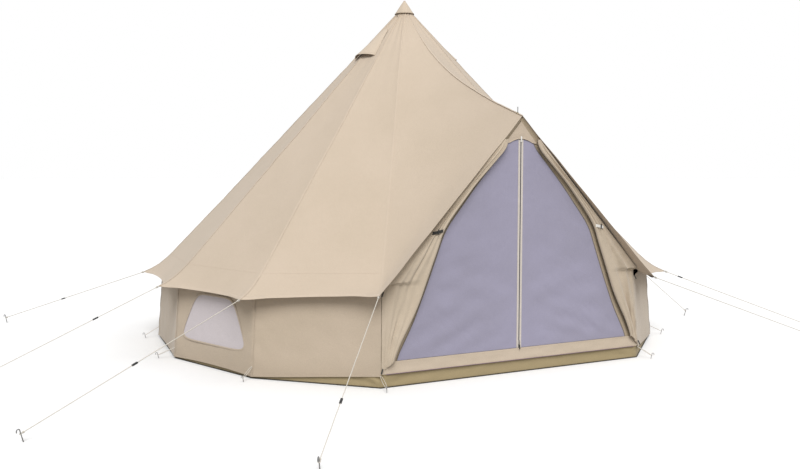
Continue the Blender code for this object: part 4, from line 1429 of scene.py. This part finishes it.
pale_webbing = woven("pale_webbing", (0.60, 0.53, 0.44), 0.0010, vary=0.04)
seam_pull = {SEAMS[seam]: name for name, (seam, _, _) in GUY_ROPES.items()}
tab_meshes = []
black_and_shaded_tabs = []
ring_meshes = []
for bearing in SEAMS:
    eave = guy_point(bearing)
    outwards = polar(1.0, bearing, 0.0)
    if bearing in seam_pull:
        pull = rope_line(seam_pull[bearing])[3]
        reach = 0.002
    else:
        pull = (outwards * 0.5 - UP * 0.87).normalized()
        reach = 0.014
    inside = eave - outwards * 0.050 + UP * 0.012
    across = outwards.cross(UP).normalized()
    columns = []
    for step in range(5):
        column = []
        for row in range(9):
            point = inside.lerp(eave + pull * (reach - 0.006), row / 8)
            point -= UP * 0.0085 * math.sin(math.pi * row / 9)
            width = mix(0.0125, 0.0095, row / 8) * (step / 2 - 1)
            column.append(point + across * width)
        columns.append(column)
    tab = sheet_mesh(columns, 0.0018)
    # The tabs at 280° and 30° get black webbing; at 280° the black is painted shade, for a tab in the shadow
    # of the eave.
    (black_and_shaded_tabs if bearing in (SEAMS[-3], SEAMS[0]) else tab_meshes).append(tab)
    ring_middle = eave + pull * reach
    ring_way = pull.cross(across).normalized()
    ring_meshes.append(round_tube(ring_points(ring_middle, pull, ring_way, 0.0085), 0.0016, 8, True))
shown("eave_tabs_pale", joined(tab_meshes), pale_webbing)
shown("eave_tabs_black_and_shaded", joined(black_and_shaded_tabs), black_webbing_and_shade)
shown("eave_rings", joined(ring_meshes), galvanised)


# ---------------------------------------------------------------- guy ropes
# Seven ropes of braided natural cord run taut from the eave to steel pegs. A black runner on each one
# tightens it, and a loop at the foot of the rope goes round the peg.

guy_cord = woven("guy_cord", (0.64, 0.60, 0.54), 0.0021, roughness=0.9, vary=0.06)
runner_plastic = moulded("runner_plastic", (0.022, 0.022, 0.022), 0.5)
peg_steel = metal("peg_steel", (0.50, 0.50, 0.51), 0.4, darkening=0.12)
ROPE_RADIUS = 0.003
KNOT_TURNS = 2.5
KNOT_LENGTH = 0.010
KNOT_RADIUS = 0.0054
for name in GUY_ROPES:
    start, end, catch, along = rope_line(name)
    side = along.cross(UP).normalized()
    path = []
    for step in range(121):
        share = step / 120
        slack = 0.0006 * math.sin(share * 57.0) * math.sin(math.pi * share)
        path.append(start.lerp(end, share) + side * slack)
    rope = shown(f"guy_rope_braid_{name}", round_tube(path, ROPE_RADIUS, 10), guy_cord)
    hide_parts(f"guy_rope_{name}")
    lift = side.cross(along)
    knot_turns = []
    for step in range(37):
        turn = step / 36 * KNOT_TURNS * math.tau
        arm = side * math.cos(turn) + lift * math.sin(turn)
        knot_turns.append(along * (0.005 + KNOT_LENGTH * step / 36) + arm * KNOT_RADIUS)
    knot = round_tube([start + point for point in knot_turns], 0.0024, 8)
    eye = round_tube(ring_points(start, -along, side, 0.0075), 0.0026, 8, True)
    top_knot = shown(f"guy_knot_{name}", joined([knot, eye]), guy_cord)
    lean = Vector((along.x, along.y, 0.0)).normalized() * PEG_LEAN + UP * PEG_TOP
    loop_turns = ring_points(catch, -along, lean.normalized(), 0.0085)
    loop = round_tube(loop_turns, 0.0026, 8, True)
    foot_knot = round_tube([end - along * 0.018 + point for point in knot_turns], 0.0024, 8)
    foot_loop = shown(f"guy_loop_{name}", joined([loop, foot_knot]), guy_cord)
    refinish(runner_plastic, f"guy_slider_{name}")
    refinish(peg_steel, f"guy_peg_{name}")


# ---------------------------------------------------------------- wall pegs
# A cord loop comes out under the wall at each seam and is held down by a small hooked peg.

WALL_PEG_RADIUS = 2.615
loop_meshes = []
peg_meshes = []
for index, bearing in enumerate(SEAMS):
    outwards = polar(1.0, bearing, 0.0)
    peg_at = polar(WALL_PEG_RADIUS, bearing + 2.0 * math.sin(index * 2.3), 0.0)
    root = polar(2.497, bearing, 0.098)
    top = peg_at + outwards * 0.010 + UP * 0.048
    shaft = [peg_at + UP * 0.004, peg_at.lerp(top, 0.6), top]
    bend = [
        top + outwards * (0.008 - 0.008 * math.cos(turn)) + Vector((0.0, 0.0, 0.008 * math.sin(turn)))
        for turn in (0.5, 1.1, 1.6, 2.1, 2.7, 3.14)
    ]
    peg_meshes.append(round_tube(shaft + bend + [bend[-1] - UP * 0.010], 0.0025, 8))
    across = outwards.cross(UP).normalized()
    middle = (root + peg_at + UP * 0.034) / 2
    half_long = ((peg_at + UP * 0.034) - root) / 2 + outwards * 0.003
    turns = [math.tau * step / 24 for step in range(24)]
    loop = [middle + half_long * math.cos(turn) + across * 0.010 * math.sin(turn) for turn in turns]
    loop_meshes.append(round_tube(loop, 0.0020, 8, True))
shown("wall_peg_loops", joined(loop_meshes), guy_cord)
shown("wall_pegs", joined(peg_meshes), peg_steel)

# Black toggles at the two door corners fasten the canvas door when it is shut.
corner_toggles = []
for side in (-1, 1):
    for height in (0.155, 0.735):
        x, y = door_corner(height)
        place = Vector((side * (x - 0.004), y - 0.016, height))
        rod = [place + Vector((side * 0.004 * step, -0.002 * step, -0.009 * step)) for step in range(5)]
        corner_toggles.append(round_tube(rod, 0.0050, 10))
shown("corner_toggles", joined(corner_toggles), black_rubber)
